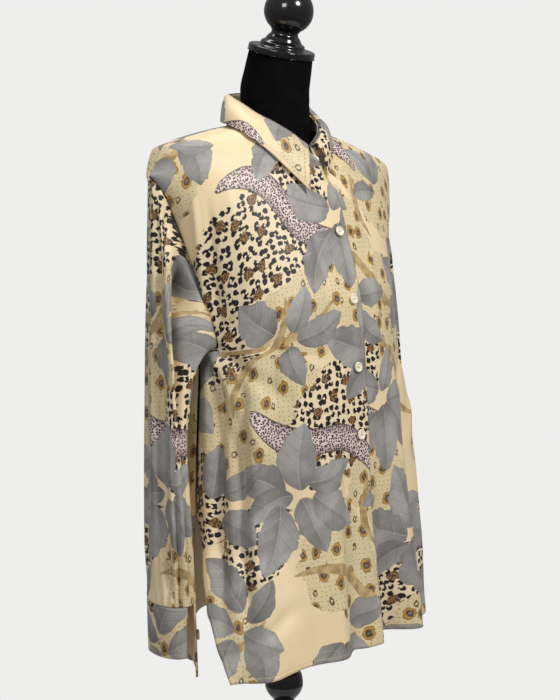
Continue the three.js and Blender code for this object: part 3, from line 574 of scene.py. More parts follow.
def printed_cloth():
    """The face of the cloth: cream ground, then patches, strokes and three layers of leaves."""
    material, tree, shader = surface("printed_satin", 0.47, Sheen_Weight=0.12, Sheen_Roughness=0.4,
                                     Specular_IOR_Level=0.42)
    place = flat_place(tree)
    note = lambda name: node(tree, "ShaderNodeAttribute", {"attribute_name": name}, {}, 1).split()
    spot_depth, drop_depth, edge = note("patches")
    ragged = (cloud(place, 45, 3.0) - 0.5) * 0.030
    colour = blend(ink(243, 221, 181), ink(238, 214, 172), cloud(place, 9).over(0.5, 0.2))

    # Fine dots, ochre drops with dark rims, and small brown rings
    dots = cells(place, DOTS, Randomness=0.4)[0]
    dotted = blend(ink(216, 200, 160), ink(226, 206, 162), cloud(place, 12).over(0.5, 0.15))
    dotted = blend(dotted, ink(118, 98, 66), dots.under(0.105, 0.04))
    tall = place.vector("MULTIPLY", (1.0, 0.74, 0.0))
    drop = cells(tall, DROPS, Randomness=0.6)[0] + (cloud(place, 130) - 0.5) * 0.2
    dotted = painted(
        dotted, (ink(104, 78, 44), drop.under(0.222, 0.012)), (ink(184, 144, 78), drop.under(0.205, 0.03)),
        (ink(74, 60, 50), drop.under(0.120, 0.035)), (ink(132, 118, 104), drop.under(0.055, 0.03)))
    ringlet = cells(tall.vector("ADD", RINGS_APART), DROPS, Randomness=0.6)[0]
    ringlet = ringlet + (cloud(place, 260, 1.0) - 0.5) * 0.13
    ring = abs(ringlet - 0.085).under(0.030, 0.014) * drop.over(0.28, 0.01)
    dotted = blend(dotted, ink(104, 82, 58), ring)
    colour = blend(colour, dotted, (drop_depth + ragged).over(0.0, 0.0012))

    # Black open spots on the cream, each a blot with a notch, and larger brown rosettes among them
    spot, chance, middle = cells(place, SPOTS, Randomness=0.68)
    wobble = (cloud(place, 240, 1.0) - 0.5) * 0.40
    aside = chance.vector("SUBTRACT", (0.5, 0.5, 0.0)).vector("MULTIPLY", (1.0, 1.0, 0.0))
    notch = aside.vector("NORMALIZE").vector("MULTIPLY", (NOTCH, NOTCH, 0.0))
    hole = place.vector("SUBTRACT", middle).vector("SUBTRACT", notch).length() * SPOTS + wobble * 0.3
    closed = chance.split()[2].over(0.52, 0.01)
    blot = (spot + wobble).under(0.38, 0.03) * hole.over(0.17, 0.03).most(closed)
    spotted = blend(ink(236, 217, 182), ink(24, 20, 22), blot)
    rosette = cells(place.vector("ADD", ROSETTES_APART), ROSETTES, Randomness=0.72)[0]
    rosette = rosette + (cloud(place, 150) - 0.5) * 0.26
    crumb = cells(place, CRUMBS, Randomness=0.95)[0]
    brown = blend(ink(84, 66, 52), ink(188, 138, 66), crumb.under(0.30, 0.10))
    spotted = painted(spotted, (ink(34, 28, 26), rosette.under(0.190, 0.02)),
                      (brown, rosette.under(0.170, 0.025)))
    # Noise read at a cell's middle leaves a spot at the patch's edge out whole
    whole = (spot_depth + (cloud(middle, 45) - 0.5) * 0.030).over(0.0, 0.0006)
    colour = blend(colour, spotted, whole)

    # Branches, and ribbons of fine speckles with darker rims
    along, across, ribbon = note("stroke")
    taper = (along * (1 - along) * 4).most(0.0) ** 0.5
    inside = ((abs(across) - taper) * -1).over(0.0, 0.05) * along.over(0.0, 0.01)
    bark = blend(ink(160, 134, 92), ink(200, 174, 124), cloud(place, 90, 3.0).over(0.5, 0.2))
    colour = blend(colour, bark, inside * ribbon.under(0.5, 0.1))
    fine = cells(place, SPECKLES, Randomness=0.8)[0] + (cloud(place, 700, 1.0) - 0.5) * 0.4
    speckled = blend(ink(226, 206, 200), ink(176, 152, 150), abs(across).over(0.55, 0.35))
    speckled = painted(speckled, (ink(42, 34, 38), fine.under(0.36, 0.06)),
                       (ink(60, 48, 50), (taper - abs(across)).under(0.07, 0.04)))
    colour = blend(colour, speckled, inside * ribbon.over(0.5, 0.1))

    # Leaves: warm greys washed from a dark stalk end to a light tip, one half lighter than the other,
    # each with its own width and bend, and edges and side veins that come and go
    wash = cloud(place, 26, 3.0)
    for k in (2, 1, 0):
        a, b, tone = note("leaf_%d" % k)
        held = a.most(0.0).least(1.0)
        own = (tone * 7.31).math("FRACT", tone * 7.31)
        off = b - (own - 0.5) * (held * (1 - held)) * 0.9
        half = held**0.66 * (1 - held) ** 0.86 * (0.72 + own * 0.22)
        deep = half - abs(off) + (cloud(place, 70, 1.0) - 0.5) * 0.13 * (held * (1 - held) * 4)
        shape = deep.over(0.0, 0.006) * a.over(0.0, 0.004) * a.under(1.0, 0.004)
        vein = (held * 5.5 - abs(off) * 4.5).math("FRACT", held * 5.5 - abs(off) * 4.5)
        light = off.over(0.0, 0.07) * 0.35 + tone * 0.35 + wash.over(0.5, 0.16) * 0.5
        grey = painted(
            blend(ink(126, 122, 119), ink(170, 167, 163), light),
            (ink(100, 97, 95), held.under(0.16, 0.22) * 0.65),
            (ink(102, 99, 97), abs(off + 0.035).under(0.02, 0.06) * 0.42),
            (ink(182, 179, 175), vein.over(0.86, 0.12) * wash.over(0.45, 0.1) * 0.30),
            (ink(104, 101, 99), vein.under(0.10, 0.10) * 0.26),
            (ink(98, 95, 93), deep.under(0.006, 0.045) * wash.under(0.56, 0.12) * 0.62),
            (ink(188, 184, 179), abs(off).under(0.007, 0.008) * held.under(0.8, 0.1) * 0.5))
        colour = blend(colour, grey, shape)

    stitch = abs(edge - 0.0055).under(0.00035, 0.0002)
    x, y, _ = place.split()
    thread = ((x + y) * 2100).math("SINE", (x + y) * 2100).over(-0.35, 0.2)
    colour = blend(colour, ink(205, 180, 138), stitch * thread * 0.8)
    height = weave_height(place) + stitch * (thread - 1.6) * 0.00035 + edge.under(0.0048, 0.0006) * 0.0003
    rough = cloud(place, 25) * 0.10 + 0.42
    wire(tree, shader, Base_Color=colour, Normal=bumped(height, 0.5), Roughness=rough)
    return material


def wrong_side():
    """The back of the cloth: bare cream in two soft tones, with the weave as bump."""
    material, tree, shader = surface("cloth_wrong_side", 0.6, Sheen_Weight=0.1)
    place = flat_place(tree)
    colour = blend(ink(236, 212, 170), ink(222, 196, 158), cloud(place, 14, 3.0).over(0.5, 0.15))
    wire(tree, shader, Base_Color=colour, Normal=bumped(weave_height(place), 0.5))
    return material


FACE_SIDE, BACK_SIDE = printed_cloth(), wrong_side()


def cloth_piece(name, points, flat, edge, offset, thick=0.0007):
    """One cut piece: its grid as a mesh with the print laid on it, given its thin wall, with the
    face of the cloth outside and its wrong side inside."""
    mesh, faces = grid_mesh(name, points)
    lay_print(mesh, faces, flat + np.array(offset), edge)
    piece = bpy.data.objects.new(name, mesh)
    bpy.context.scene.collection.objects.link(piece)
    mesh.materials.append(FACE_SIDE)
    mesh.materials.append(BACK_SIDE)
    wall = piece.modifiers.new("wall", "SOLIDIFY")
    wall.thickness, wall.offset, wall.use_even_offset = thick, 0, False
    wall.material_offset = 1
    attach(piece, "root")
    return piece


# By where each starts and where it would reach the hem, the drops where it starts and is full, its
# width and depth. Over 0 is the wearer's left.
FRONT_FOLDS = [
    (-34, -62, 250, 640, 22, 9), (-14, -26, 320, 660, 19, -10), (-108, -112, 260, 620, 30, -6),
    (-138, -170, 150, 430, 20, 6), (-160, -206, 160, 460, 17, -6), (34, 62, 400, 700, 24, -36),
    (70, 98, 260, 600, 20, 9), (110, 138, 220, 560, 22, -7), (146, 178, 180, 480, 20, 4),
]
# Small creases: from one place to another as distance round and drop, then width and depth.
FRONT_CREASES = [
    (-163, 350, -186, 600, 9, -8.0), (-180, 320, -202, 620, 9, 4.5), (-197, 330, -220, 600, 8, -7.0),
    (-214, 300, -236, 570, 9, 4.0), (-208, 280, -110, 350, 11, -4.0), (-210, 292, -130, 430, 10, 3.6),
    (-212, 306, -146, 520, 10, -3.4), (-192, 80, -206, 240, 6, 5.0), (-176, 90, -190, 262, 8, -3.6),
    (-150, 60, -140, 230, 12, 1.8), (-228, 645, -120, 596, 10, -4.2), (-240, 600, -160, 548, 9, 3.8),
    (-122, 260, -136, 570, 13, -5.2), (-94, 320, -106, 620, 12, 4.2), (-46, 120, -34, 320, 9, -1.6),
    (-60, 60, -130, 46, 8, -1.4), (-30, 420, -40, 640, 8, -3.4), (208, 280, 110, 350, 11, -4.0),
    (210, 300, 140, 440, 10, 3.4), (60, 150, 36, 320, 9, 1.6), (186, 340, 204, 620, 10, -4.6),
    (160, 330, 172, 600, 10, 3.6), (128, 330, 138, 600, 11, -3.0), (192, 80, 204, 240, 7, 4.0),
    (54, 420, 62, 630, 8, 3.0), (36, 440, 42, 640, 8, -2.6), (50, 60, 120, 50, 8, -1.4),
]
for which, offset in (("right", (0.38, 0.18)), ("left", (0.33, 0.42))):
    points, around, edge = panel(which, 84, FRONT_FOLDS, FRONT_CREASES)
    flat = np.stack([around * MM, down_length(points)], -1)
    piece = cloth_piece(which + "_front_cloth", points, flat, edge, offset)
    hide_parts("front_" + which)

# The back: one piece from side seam to side seam, a little lower at the neck than the collar.
BACK_FOLDS = [
    (-108, -136, 130, 520, 22, 7), (-66, -88, 150, 560, 24, -8), (-20, -34, 160, 600, 26, 9),
    (16, 22, 200, 600, 26, -9), (60, 78, 130, 560, 24, 9), (112, 132, 140, 520, 22, -7),
]
BACK_CREASES = [
    (-205, 280, -90, 330, 11, -4.0), (-205, 300, -120, 430, 10, 3.4), (205, 280, 100, 340, 11, -4.0),
    (205, 310, 130, 450, 10, 3.4), (-40, 60, -60, 260, 12, 2.4), (40, 60, 64, 280, 12, -2.4),
    (-10, 240, -6, 520, 10, -2.8), (36, 300, 44, 600, 10, 2.8), (-90, 340, -104, 650, 10, -3.2),
    (96, 340, 104, 640, 10, 3.2), (-180, 340, -196, 640, 10, -4.4), (180, 340, 196, 640, 10, -4.4),
    (-150, 350, -158, 620, 10, 3.4), (150, 350, 158, 620, 10, 3.4), (-192, 90, -204, 240, 7, 4.0),
    (192, 90, 204, 240, 7, 4.0),
]
points, around, edge = panel("back", 156, BACK_FOLDS, BACK_CREASES)
flat = np.stack([around * MM, down_length(points)], -1)
back = cloth_piece("back_cloth", points, flat, edge, (0.12, 0.41))
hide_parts("back")

# The sleeves: one piece each, closed by a seam under the arm, eased into the armhole with small tucks
# and hanging straight down, with folds all their length and the cloth full above the cuff.
CUFF_TOP_Z, SLEEVE_TURN, SLEEVE_STEP = 591.0, 40.0, -0.4
hang = curves("right_x right_y left_x left_y across along turned", [
    [526, -213, -21, 216, 26, 26, 39, 14], [591, -213, -21, 216, 26, 26, 39, 14],
    [700, -211, -14, 212, 32, 24, 45, 20], [850, -197, 10, 200, 40, 20, 48, 25],
    [1000, -189, 24, 190, 42, 18, 48, 28], [1110, -192, 24, 192, 30, 20, 44, 20],
])
# Degrees round from the outside by way of the front, half width and depth.
SLEEVE_FOLDS = [
    (18, 13, 3), (48, 12, -7), (78, 14, 4), (108, 14, -4), (180, 22, -4), (250, 16, 4), (284, 15, -5),
    (316, 14, 4), (346, 13, -4),
]
# Degrees round and height at the top and the foot, half width in degrees, and depth.
SLEEVE_CREASES = [
    (104, 1120, 110, 780, 12, -36.0), (64, 1090, 62, 830, 6, -5.0), (84, 1090, 87, 740, 7, 4.0),
    (30, 1070, 28, 860, 7, 3.0), (8, 1080, 12, 880, 8, -3.0), (20, 900, 26, 640, 8, 2.6),
    (40, 880, 34, 640, 7, -3.0), (76, 720, 77, 575, 6, -8.5), (66, 800, 62, 610, 6, 3.2),
    (92, 760, 96, 600, 7, 3.4), (120, 860, 112, 640, 8, -3.4), (0, 900, -14, 640, 8, 2.6),
    (-40, 1000, -20, 760, 9, -2.8), (-70, 880, -60, 640, 8, 3.0), (-106, 1100, -108, 820, 13, -12.0),
    (-84, 1080, -86, 760, 8, 3.6), (-110, 860, -100, 640, 8, -3.0), (104, 720, 112, 606, 6, -3.2),
    (52, 700, 48, 602, 6, -2.8), (26, 690, 22, 602, 5, -2.6), (-30, 690, -34, 602, 6, -2.8),
    (-90, 700, -96, 602, 7, -2.8), (160, 760, 170, 620, 12, -3.0),
]


def section(hand, turn, z, out):
    """A point of the hanging sleeve's oval at height z, `out` mm outside it."""
    side = "right_" if hand < 0 else "left_"
    across = (hang["across"](z) + out) * np.cos(np.radians(turn))
    along = (hang["along"](z) + out) * np.sin(np.radians(turn))
    swing = np.radians(hang["turned"](z))
    return np.stack([hang[side + "x"](z) + hand * (across * np.cos(swing) + along * np.sin(swing)),
                     hang[side + "y"](z) + across * np.sin(swing) - along * np.cos(swing), z], -1)


def armhole(hand, turn):
    """The armhole by degrees round from the shoulder: the side edges of the front and of the back."""
    drop = UNDERARM_DROP * (1 - np.cos(np.radians(turn))) / 2
    panel_name = "right" if hand < 0 else "left"
    front = sheet_point(True, drop, hand * side_edge[panel_name](drop))
    rear = sheet_point(False, drop, hand * side_edge["back"](drop))
    return np.where((turn <= 180)[..., None], front, rear)


def sleeve(hand):
    """From the armhole each line of the sleeve rounds over and falls to the cuff, taking the hanging
    oval's shape on its way, with the folds and creases as bell curves round it."""
    rows = np.concatenate([np.linspace(0, 0.1, 40)[:-1], np.linspace(0.1, 1, 180)])
    share, turn = np.meshgrid(rows, np.linspace(-178, 182, 145) % 360, indexing="ij")
    start = armhole(hand, turn)
    z = mix(start[..., 2], CUFF_TOP_Z + SEAM, share)
    below = start[..., 2] - z
    off = lambda at: (turn - at + 540) % 360 - 180
    fold = sum(deep * np.exp(-((off(at) / wide) ** 2)) for at, wide, deep in SLEEVE_FOLDS)
    fold = fold * ease(below / 90) * ease((z - CUFF_TOP_Z) / 70)
    crease = 0 * z
    for t0, z0, t1, z1, wide, deep in SLEEVE_CREASES:
        run = np.clip((z0 - z) / (z0 - z1), -1, 2)
        bell = np.exp(-((off(mix(t0, t1, run)) / wide) ** 2))
        crease = crease + deep * ease(run * 3 + 0.4) * ease((1 - run) * 5) * bell
    near_cuff = ease(1 - (z - CUFF_TOP_Z) / 26)
    crease = crease + 1.3 * near_cuff * np.sin(np.radians(turn) * 22) * ease((z - CUFF_TOP_Z) / 6)
    flow = section(hand, turn, z, fold)
    top = np.maximum(0, 1 - np.abs((turn + 180) % 360 - 180) / 90)
    tuck = 2.0 * np.sin(np.radians(turn) * 16) * ease(top * 3) * np.exp(-below / 26)
    over = np.minimum(1, below / SLEEVE_TURN)
    slow = mix(over * 0.35, 1, ease(below / 160))
    fast = mix(np.sqrt(1 - (1 - over) ** 2) * 0.75, 1, ease(below / 140))
    outward = np.where(hand * (flow[..., 0] - start[..., 0]) > 0, fast, slow)
    points = np.stack([mix(start[..., 0] + hand * SLEEVE_STEP, flow[..., 0], outward) + hand * tuck,
                       mix(start[..., 1], flow[..., 1], slow), z], -1)
    away = section(hand, turn, z, 1.0) - section(hand, turn, z, 0.0)
    points = (points + away * (crease * ease(below / 14))[..., None]) * MM
    round_step = np.linalg.norm(np.diff(points, axis=1), axis=-1)[120:].mean(0)
    around = np.concatenate([[0], np.cumsum(round_step)])
    flat = np.stack([np.broadcast_to(around, share.shape), down_length(points)], -1)
    return (points, flat) if hand < 0 else (points[:, ::-1], flat[:, ::-1])


for hand, side, offset in ((-1, "right", (0.10, 0.25)), (1, "left", (0.40, 0.02))):
    points, flat = sleeve(hand)
    piece = cloth_piece(side + "_sleeve_cloth", points, flat, np.full(points.shape[:2], 99.0), offset)
    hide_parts("sleeve_" + side)

# The cuffs: two layers with an interlining, turned, pressed and stitched round, 62 mm deep, with one
# button. The right one hangs undone, so its rear end droops.
CUFF_HEIGHT = 62.0


def run_along(line):
    """Distance along a line of points from its first one."""
    return np.concatenate([[0], np.cumsum(np.linalg.norm(np.diff(line, axis=0), axis=-1))])


def cuff(hand, droop):
    """A band round the sleeve's oval from one side of its opening to the other, drawn in a little
    towards its foot, with its last fifth let down by the droop."""
    share, down = np.meshgrid(np.linspace(0, 1, 121), np.linspace(0, 1, 29))
    end = ease((share - 0.78) / 0.22)
    z = mix(CUFF_TOP_Z - SEAM, CUFF_TOP_Z - CUFF_HEIGHT - droop * end, down)
    out = (droop * 0.25 * end - 2.5 + 0.7 * np.sin(share * 19)) * down
    points = section(hand, 96 - 330 * share, z, out) * MM
    length = run_along(points[14])
    flat = np.stack([np.broadcast_to(length, share.shape), -down * CUFF_HEIGHT * MM], -1)
    span = length[-1] / MM
    edge = np.minimum(np.minimum(down, 1 - down) * CUFF_HEIGHT, np.minimum(share, 1 - share) * span)
    return (points, flat, edge) if hand > 0 else (points[:, ::-1], flat[:, ::-1], edge[:, ::-1])


for hand, side, droop, offset in ((-1, "right", 26, (0.15, 0.30)), (1, "left", 0, (0.44, 0.07))):
    points, flat, edge = cuff(hand, droop)
    piece = cloth_piece(side + "_cuff_cloth", points, flat, edge, offset, 0.0022)
    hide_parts("cuff_" + side)

# The collar: a stand that rises from the neck seam, and a leaf that turns over at its top and falls
# to two long points, both two layers with an interlining. The leaf is stitched 5 mm from its edge.
COLLAR_SHIFT = -3.0
collar = curves("fold_x fold_y fold_z right_x right_y right_z left_x left_y left_z", [
    [0, 4, -49, 1152, -38, -88, 1092, 12, -70, 1112], [20, 22, -44, 1165, -62, -71, 1120, 28, -60, 1134],
    [45, 40, -28, 1180, -83, -54, 1145, 44, -45, 1158], [65, 50, -5, 1192, -101, -34, 1164, 56, -18, 1175],
    [90, 57, 20, 1207, -97, 8, 1178, 64, 12, 1184], [120, 49, 50, 1217, -72, 46, 1183, 58, 50, 1184],
    [150, 29, 70, 1221, -40, 74, 1182, 36, 74, 1182], [180, 0, 77, 1223, 0, 83, 1181, 0, 83, 1181],
])


def fold_line(along):
    """The line where the leaf turns over the stand, from its right front end round to its left one."""
    turn = 180 * (1 - np.abs(along))
    return np.stack([np.sign(along) * collar["fold_x"](turn) + COLLAR_SHIFT, collar["fold_y"](turn),
                     collar["fold_z"](turn)], -1)


def neck_line(along):
    """The edge of the neck hole, on the fronts and then on the back."""
    hand, turn = np.where(along < 0, -1, 1), 180 * (1 - np.abs(along))
    x = mix(collar["fold_x"](0.0), NECK_HALF, np.sin(np.radians(turn)))
    front = turn < 90
    drop = np.where(front, top_drop(True, x), top_drop(False, x))
    share = x / body["wide_back"](drop)
    depth = (1 - share**2.2) ** (1 / 2.2)
    lift = np.where(front, np.where(hand < 0, lap_lift(True, drop, x), lap_lift(False, drop, x)), 0)
    reach = np.where(front, body["front"](drop), body["back"](drop))
    return np.stack([hand * x, mix(body["middle"](drop), reach, depth) - lift,
                     NECK_Z - drop - shoulder_fall(drop, hand < 0, share)], -1)


def collar_grid(rows, columns):
    along = np.linspace(-1, 1, columns + 1)
    along = np.sign(along) * np.abs(along) ** 0.9
    return np.meshgrid(along, np.linspace(0, 1, rows + 1))


def drawn_in(points, by):
    """Points moved level towards the middle of the neck."""
    middle = np.array([COLLAR_SHIFT, 14])
    d = points[..., :2] - middle
    scale = 1 - by / np.hypot(d[..., 0], d[..., 1])
    return np.concatenate([d * scale[..., None] + middle, points[..., 2:]], -1)


along, up = collar_grid(14, 200)
start, end = drawn_in(neck_line(along), 1.2) - (0, 0, 0.8), drawn_in(fold_line(along), 2.4) - (0, 0, 0.8)
points = mix(start, end, up[..., None]) * MM
length = run_along(points[0])
flat = np.stack([np.broadcast_to(length, up.shape), up * 0.034], -1)
stand = cloth_piece("collar_stand_cloth", points, flat, np.full(up.shape, 99.0), (0.05, 0.36), 0.0018)
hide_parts("collar_stand")

along, down = collar_grid(30, 240)
fold, side = fold_line(along), np.where(along < 0, 1.0, 0.0)[..., None]
turn = 180 * (1 - np.abs(along))
right_edge = np.stack([collar["right_" + k](turn) for k in "xyz"], -1)
left_edge = np.stack([collar["left_" + k](turn) for k in "xyz"], -1)
edge_line = mix(left_edge, right_edge, side)
way = mix(np.sqrt(1 - (1 - down) ** 2), down, 0.25)
points = np.concatenate([mix(fold[..., :2], edge_line[..., :2], way[..., None]),
                         mix(fold[..., 2:], edge_line[..., 2:], (down**1.5)[..., None])], -1)
length = run_along(points[0])
fall = np.concatenate([np.zeros((1, 241)), np.cumsum(np.linalg.norm(np.diff(points, axis=0), axis=-1), 0)])
edge = np.minimum(fall[-1] - fall, np.minimum(length, length[-1] - length))
flat = np.stack([np.broadcast_to(length * MM, down.shape), -fall * MM], -1)
leaf = cloth_piece("collar_leaf_cloth", points[::-1] * MM, flat[::-1], edge[::-1], (0.16, 0.22), 0.0018)
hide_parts("collar_leaf")

# The buttons: pearly cast resin, 13 mm, dished, with two holes and sewn on with cream thread. Each
# sits at its CAD node's place and takes its tilt from that node's own faces.
BUTTON_RADIUS, BUTTON_THICK = 6.5, 2.6


def turned(profile, segments):
    """A closed surface turned about +Z: radius and height along a profile, at even steps round."""
    profile = np.array(profile, float)
    angle = np.linspace(0, 2 * np.pi, segments, endpoint=False)
    ring = np.stack([np.cos(angle), np.sin(angle)], -1)
    return np.concatenate([profile[:, None, :1] * ring[None], np.broadcast_to(
        profile[:, None, 1:], (len(profile), segments, 1))], -1)


def flowing(profile, steps):
    """A turned profile with more points: cubic pieces through its own points, whose slopes are the
    line from each point's neighbour to the other."""
    p = np.array(profile, float)
    p = np.concatenate([p[:1], p, p[-1:]])
    t = np.linspace(0, 1, steps, endpoint=False)[None, :, None]
    a, b, c, d = (p[k:len(p) - 3 + k, None] for k in range(4))
    curve = 0.5 * (2 * b + (c - a) * t + (2 * a - 5 * b + 4 * c - d) * t**2
                   + (3 * b - a - 3 * c + d) * t**3)
    curve = np.concatenate([curve.reshape(-1, 2), p[-1:]])
    curve[:, 0] = np.maximum(curve[:, 0], 0)
    return curve


def solid_piece(name, grids, material, nodes):
    """One piece from closed grids of points: welded where they close, smooth, and fixed in the part."""
    parts = [grid_mesh(name, points * MM, True)[0] for points in grids]
    piece = bpy.data.objects.new(name, parts[0])
    bpy.context.scene.collection.objects.link(piece)
    if len(parts) > 1:
        joined = bmesh.new()
        for mesh in parts:
            joined.from_mesh(mesh)
        joined.to_mesh(piece.data)
        joined.free()
    piece.data.materials.append(material)
    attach(piece, "root")
    if nodes:
        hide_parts(*nodes)
    return piece


def in_piece(tree):
    """Where a point lies on its own piece, in metres."""
    return node(tree, "ShaderNodeTexCoord", {}, {}, 3)


def figure(place, scale, **more):
    """Soft noise through the stuff of a piece."""
    return node(place.tree, "ShaderNodeTexNoise", {}, {"Vector": place, "Scale": scale, **more})


def pearl():
    """Pearly resin: cream with soft cloudy bands, glossy under a clear coat."""
    material, tree, shader = surface("pearl_resin", 0.28, Coat_Weight=0.4, Coat_Roughness=0.08)
    swirl = figure(in_piece(tree), 260.0, Detail=2.0, Distortion=1.5)
    colour = blend(ink(253, 246, 230), ink(241, 228, 200), swirl.over(0.5, 0.12))
    wire(tree, shader, Base_Color=colour)
    return material


def sewing_thread():
    material, tree, shader = surface("cream_thread", 0.8)
    twist = figure(in_piece(tree), 3000.0)
    wire(tree, shader, Base_Color=blend(ink(190, 164, 120), ink(142, 116, 80), twist.over(0.5, 0.1)))
    return material


PEARL, THREAD = pearl(), sewing_thread()


def tube(path, radius, sides=8):
    """A round thread along a path: rings square to it, closed at both ends."""
    path = np.array(path, float)
    way = np.gradient(path, axis=0)
    way /= np.linalg.norm(way, axis=1)[:, None]
    side = np.cross(way, (0.0, 0.3, 1.0))
    side /= np.linalg.norm(side, axis=1)[:, None]
    angle = np.linspace(0, 2 * np.pi, sides, endpoint=False)
    size = np.full(len(path), radius)
    size[[0, -1]] = 0.001
    ring = (side[:, None] * np.cos(angle)[None, :, None]
            + np.cross(way, side)[:, None] * np.sin(angle)[None, :, None])
    return path[:, None] + ring * size[:, None, None]


def node_frame(name):
    """A button node's place and tilt: its middle, and the direction in which it is thinnest."""
    mesh = bpy.data.objects[name].data
    spots = np.empty(len(mesh.vertices) * 3, np.float32)
    mesh.vertices.foreach_get("co", spots)
    spots = np.unique(np.round(spots.reshape(-1, 3), 6), axis=0)
    middle = (spots.min(0) + spots.max(0)) / 2
    thinnest_first = np.linalg.eigh(np.cov((spots - spots.mean(0)).T))[1]
    return middle, thinnest_first[:, 0]


# Inside the tube of cloth under each button: x and y.
INSIDE = {"cuff_button_right": (-0.213, -0.021), "cuff_button_left": (0.216, 0.026)}
for name in ["button_%d" % k for k in range(1, 6)] + list(INSIDE):
    r, t = BUTTON_RADIUS, BUTTON_THICK
    middle, normal = node_frame(name)
    if np.dot(normal[:2], middle[:2] - INSIDE.get(name, (0, -0.02))) < 0:
        normal = -normal
    across = np.cross((0, 0, 1.0), normal)
    across /= np.linalg.norm(across)
    turn = Matrix(np.column_stack([across, np.cross(normal, across), normal]).tolist()).to_4x4()
    turn = Matrix.Translation(middle.tolist()) @ turn
    rim = flowing([(0.001, 0), (r - 1.4, 0), (r - 0.4, 0.35), (r, 1.1), (r - 0.3, t - 0.35), (r - 1.1, t),
                   (r - 2.0, t - 0.35), (r - 3.0, t - 0.85), (0.001, t - 0.9)], 4) - (0, t / 2)
    disc = solid_piece(name + "_disc", [turned(rim, 48)], PEARL, [name])
    holes = []
    for side in (-1, 1):
        pin = turned([(0.001, -4), (0.85, -4), (0.85, 4), (0.001, 4)], 16)
        holes.append(pin + (side * 1.6, 0, 0))
    cutter = solid_piece("cutter", holes, PEARL, [])
    cut = disc.modifiers.new("holes", "BOOLEAN")
    cut.object, cut.solver = cutter, "EXACT"
    with_holes = bpy.data.meshes.new_from_object(disc.evaluated_get(bpy.context.evaluated_depsgraph_get()))
    disc.modifiers.remove(cut)
    disc.data = with_holes
    bpy.data.objects.remove(cutter)
    disc.data.transform(turn)
    bow = np.linspace(-1, 1, 13)
    strands = [tube(np.stack([bow * 1.6, 0 * bow + y, 0.55 - 0.9 * bow**8], -1), 0.28) for y in (-0.3, 0.3)]
    thread = solid_piece(name + "_thread", strands, THREAD, [])
    thread.data.transform(turn)

# The form's neck and body: a black knitted cover, drawn over a padded shell and seamed round the
# foot of the neck. It follows the blouse's shoulders and narrows to the waist.
FORM_CLEAR, NECK_TOP_Z, CAP_TILT = 2.1, 1273.0, 15.0
form = curves("front back middle half", [
    [0, 12, 20, 16, 172], [4, -10, 54, 16, 172], [10, -18, 65, 16, 172], [20, -28, 74, 16, 171],
    [35, -34, 80, 15, 168], [60, -43, 87, 13, 160], [100, -62, 94, 9, 148], [146, -88, 97, 4, 140],
    [200, -108, 96, 0, 136], [260, -112, 88, -2, 134], [320, -96, 76, -3, 122], [390, -84, 66, -4, 113],
    [460, -92, 76, -6, 124], [520, -94, 80, -7, 126], [545, -86, 72, -7, 118],
])
neck = curves("y radius", [
    [1120, 14, 44], [1165, 15, 45.5], [1195, 16.5, 46], [1224, 18, 46.5], [1250, 12, 44.5], [1273, 6, 42.5],
])


def form_body():
    """Superellipse rings down the form, each with the shoulders' fall, closed on the axis."""
    drops = np.interp(np.linspace(0, 21, 148), np.arange(22), [
        0, 1.2, 4, 9, 16, 26, 40, 58, 84, 114, 146, 180, 216, 252, 288, 330, 370, 410, 450, 490, 530, 545])
    turn, drop = np.meshgrid(np.linspace(0, 2 * np.pi, 144, endpoint=False), drops)
    share, depth = np.abs(np.sin(turn)) ** (2 / 2.2), np.abs(np.cos(turn)) ** (2 / 2.2)
    x = -np.sign(np.sin(turn)) * form["half"](drop) * share
    reach = np.where(np.cos(turn) > 0, form["front"](drop), form["back"](drop))
    y = mix(form["middle"](drop), reach, depth)
    share = np.abs(x) / body["wide_back"](drop)
    fall = np.where(drop < UNDERARM_DROP, shoulder_fall(drop, x < 0, share), 0)
    points = np.stack([x, y, NECK_Z - FORM_CLEAR - drop - fall], -1)
    foot = points[-1:] * (0.001, 0.001, 1)
    return np.concatenate([points, foot])[:, ::-1]


def form_neck():
    """Round rings up the neck that lean forward towards the cap, closed on the axis at both ends."""
    turn, z = np.meshgrid(np.linspace(0, 2 * np.pi, 96, endpoint=False), np.linspace(1120, NECK_TOP_Z, 60))
    seam = 0.7 * np.exp(-(((z - 1206) / 1.6) ** 2))
    radius = neck["radius"](z) - seam
    lean = np.tan(np.radians(CAP_TILT)) * ease((z - 1200) / (NECK_TOP_Z - 1200)) * np.cos(turn)
    points = np.stack([radius * np.sin(turn), neck["y"](z) - radius * np.cos(turn), z - radius * lean], -1)
    close = lambda ring: ring.mean(0) + (ring - ring.mean(0)) * 0.001
    return np.concatenate([close(points[0])[None], points, close(points[-1])[None]])


def jersey():
    """Black knit: fine rows of loops as bump, matt and only faintly glossy."""
    material, tree, shader = surface("black_knit", 0.9, Specular_IOR_Level=0.08)
    place = in_piece(tree)
    soft = figure(place, 40.0, Detail=3.0)
    x, y, z = place.split()
    loops = (z * 4200).math("SINE", z * 4200) * ((x + y) * 4200).math("SINE", (x + y) * 4200)
    colour = blend(ink(6, 6, 8), ink(12, 12, 14), soft.over(0.5, 0.2))
    wire(tree, shader, Base_Color=colour, Normal=bumped(loops * 0.0001 + soft * 0.0006, 0.4))
    return material


solid_piece("form_cover", [form_body(), form_neck()], jersey(), ["dress_form"])

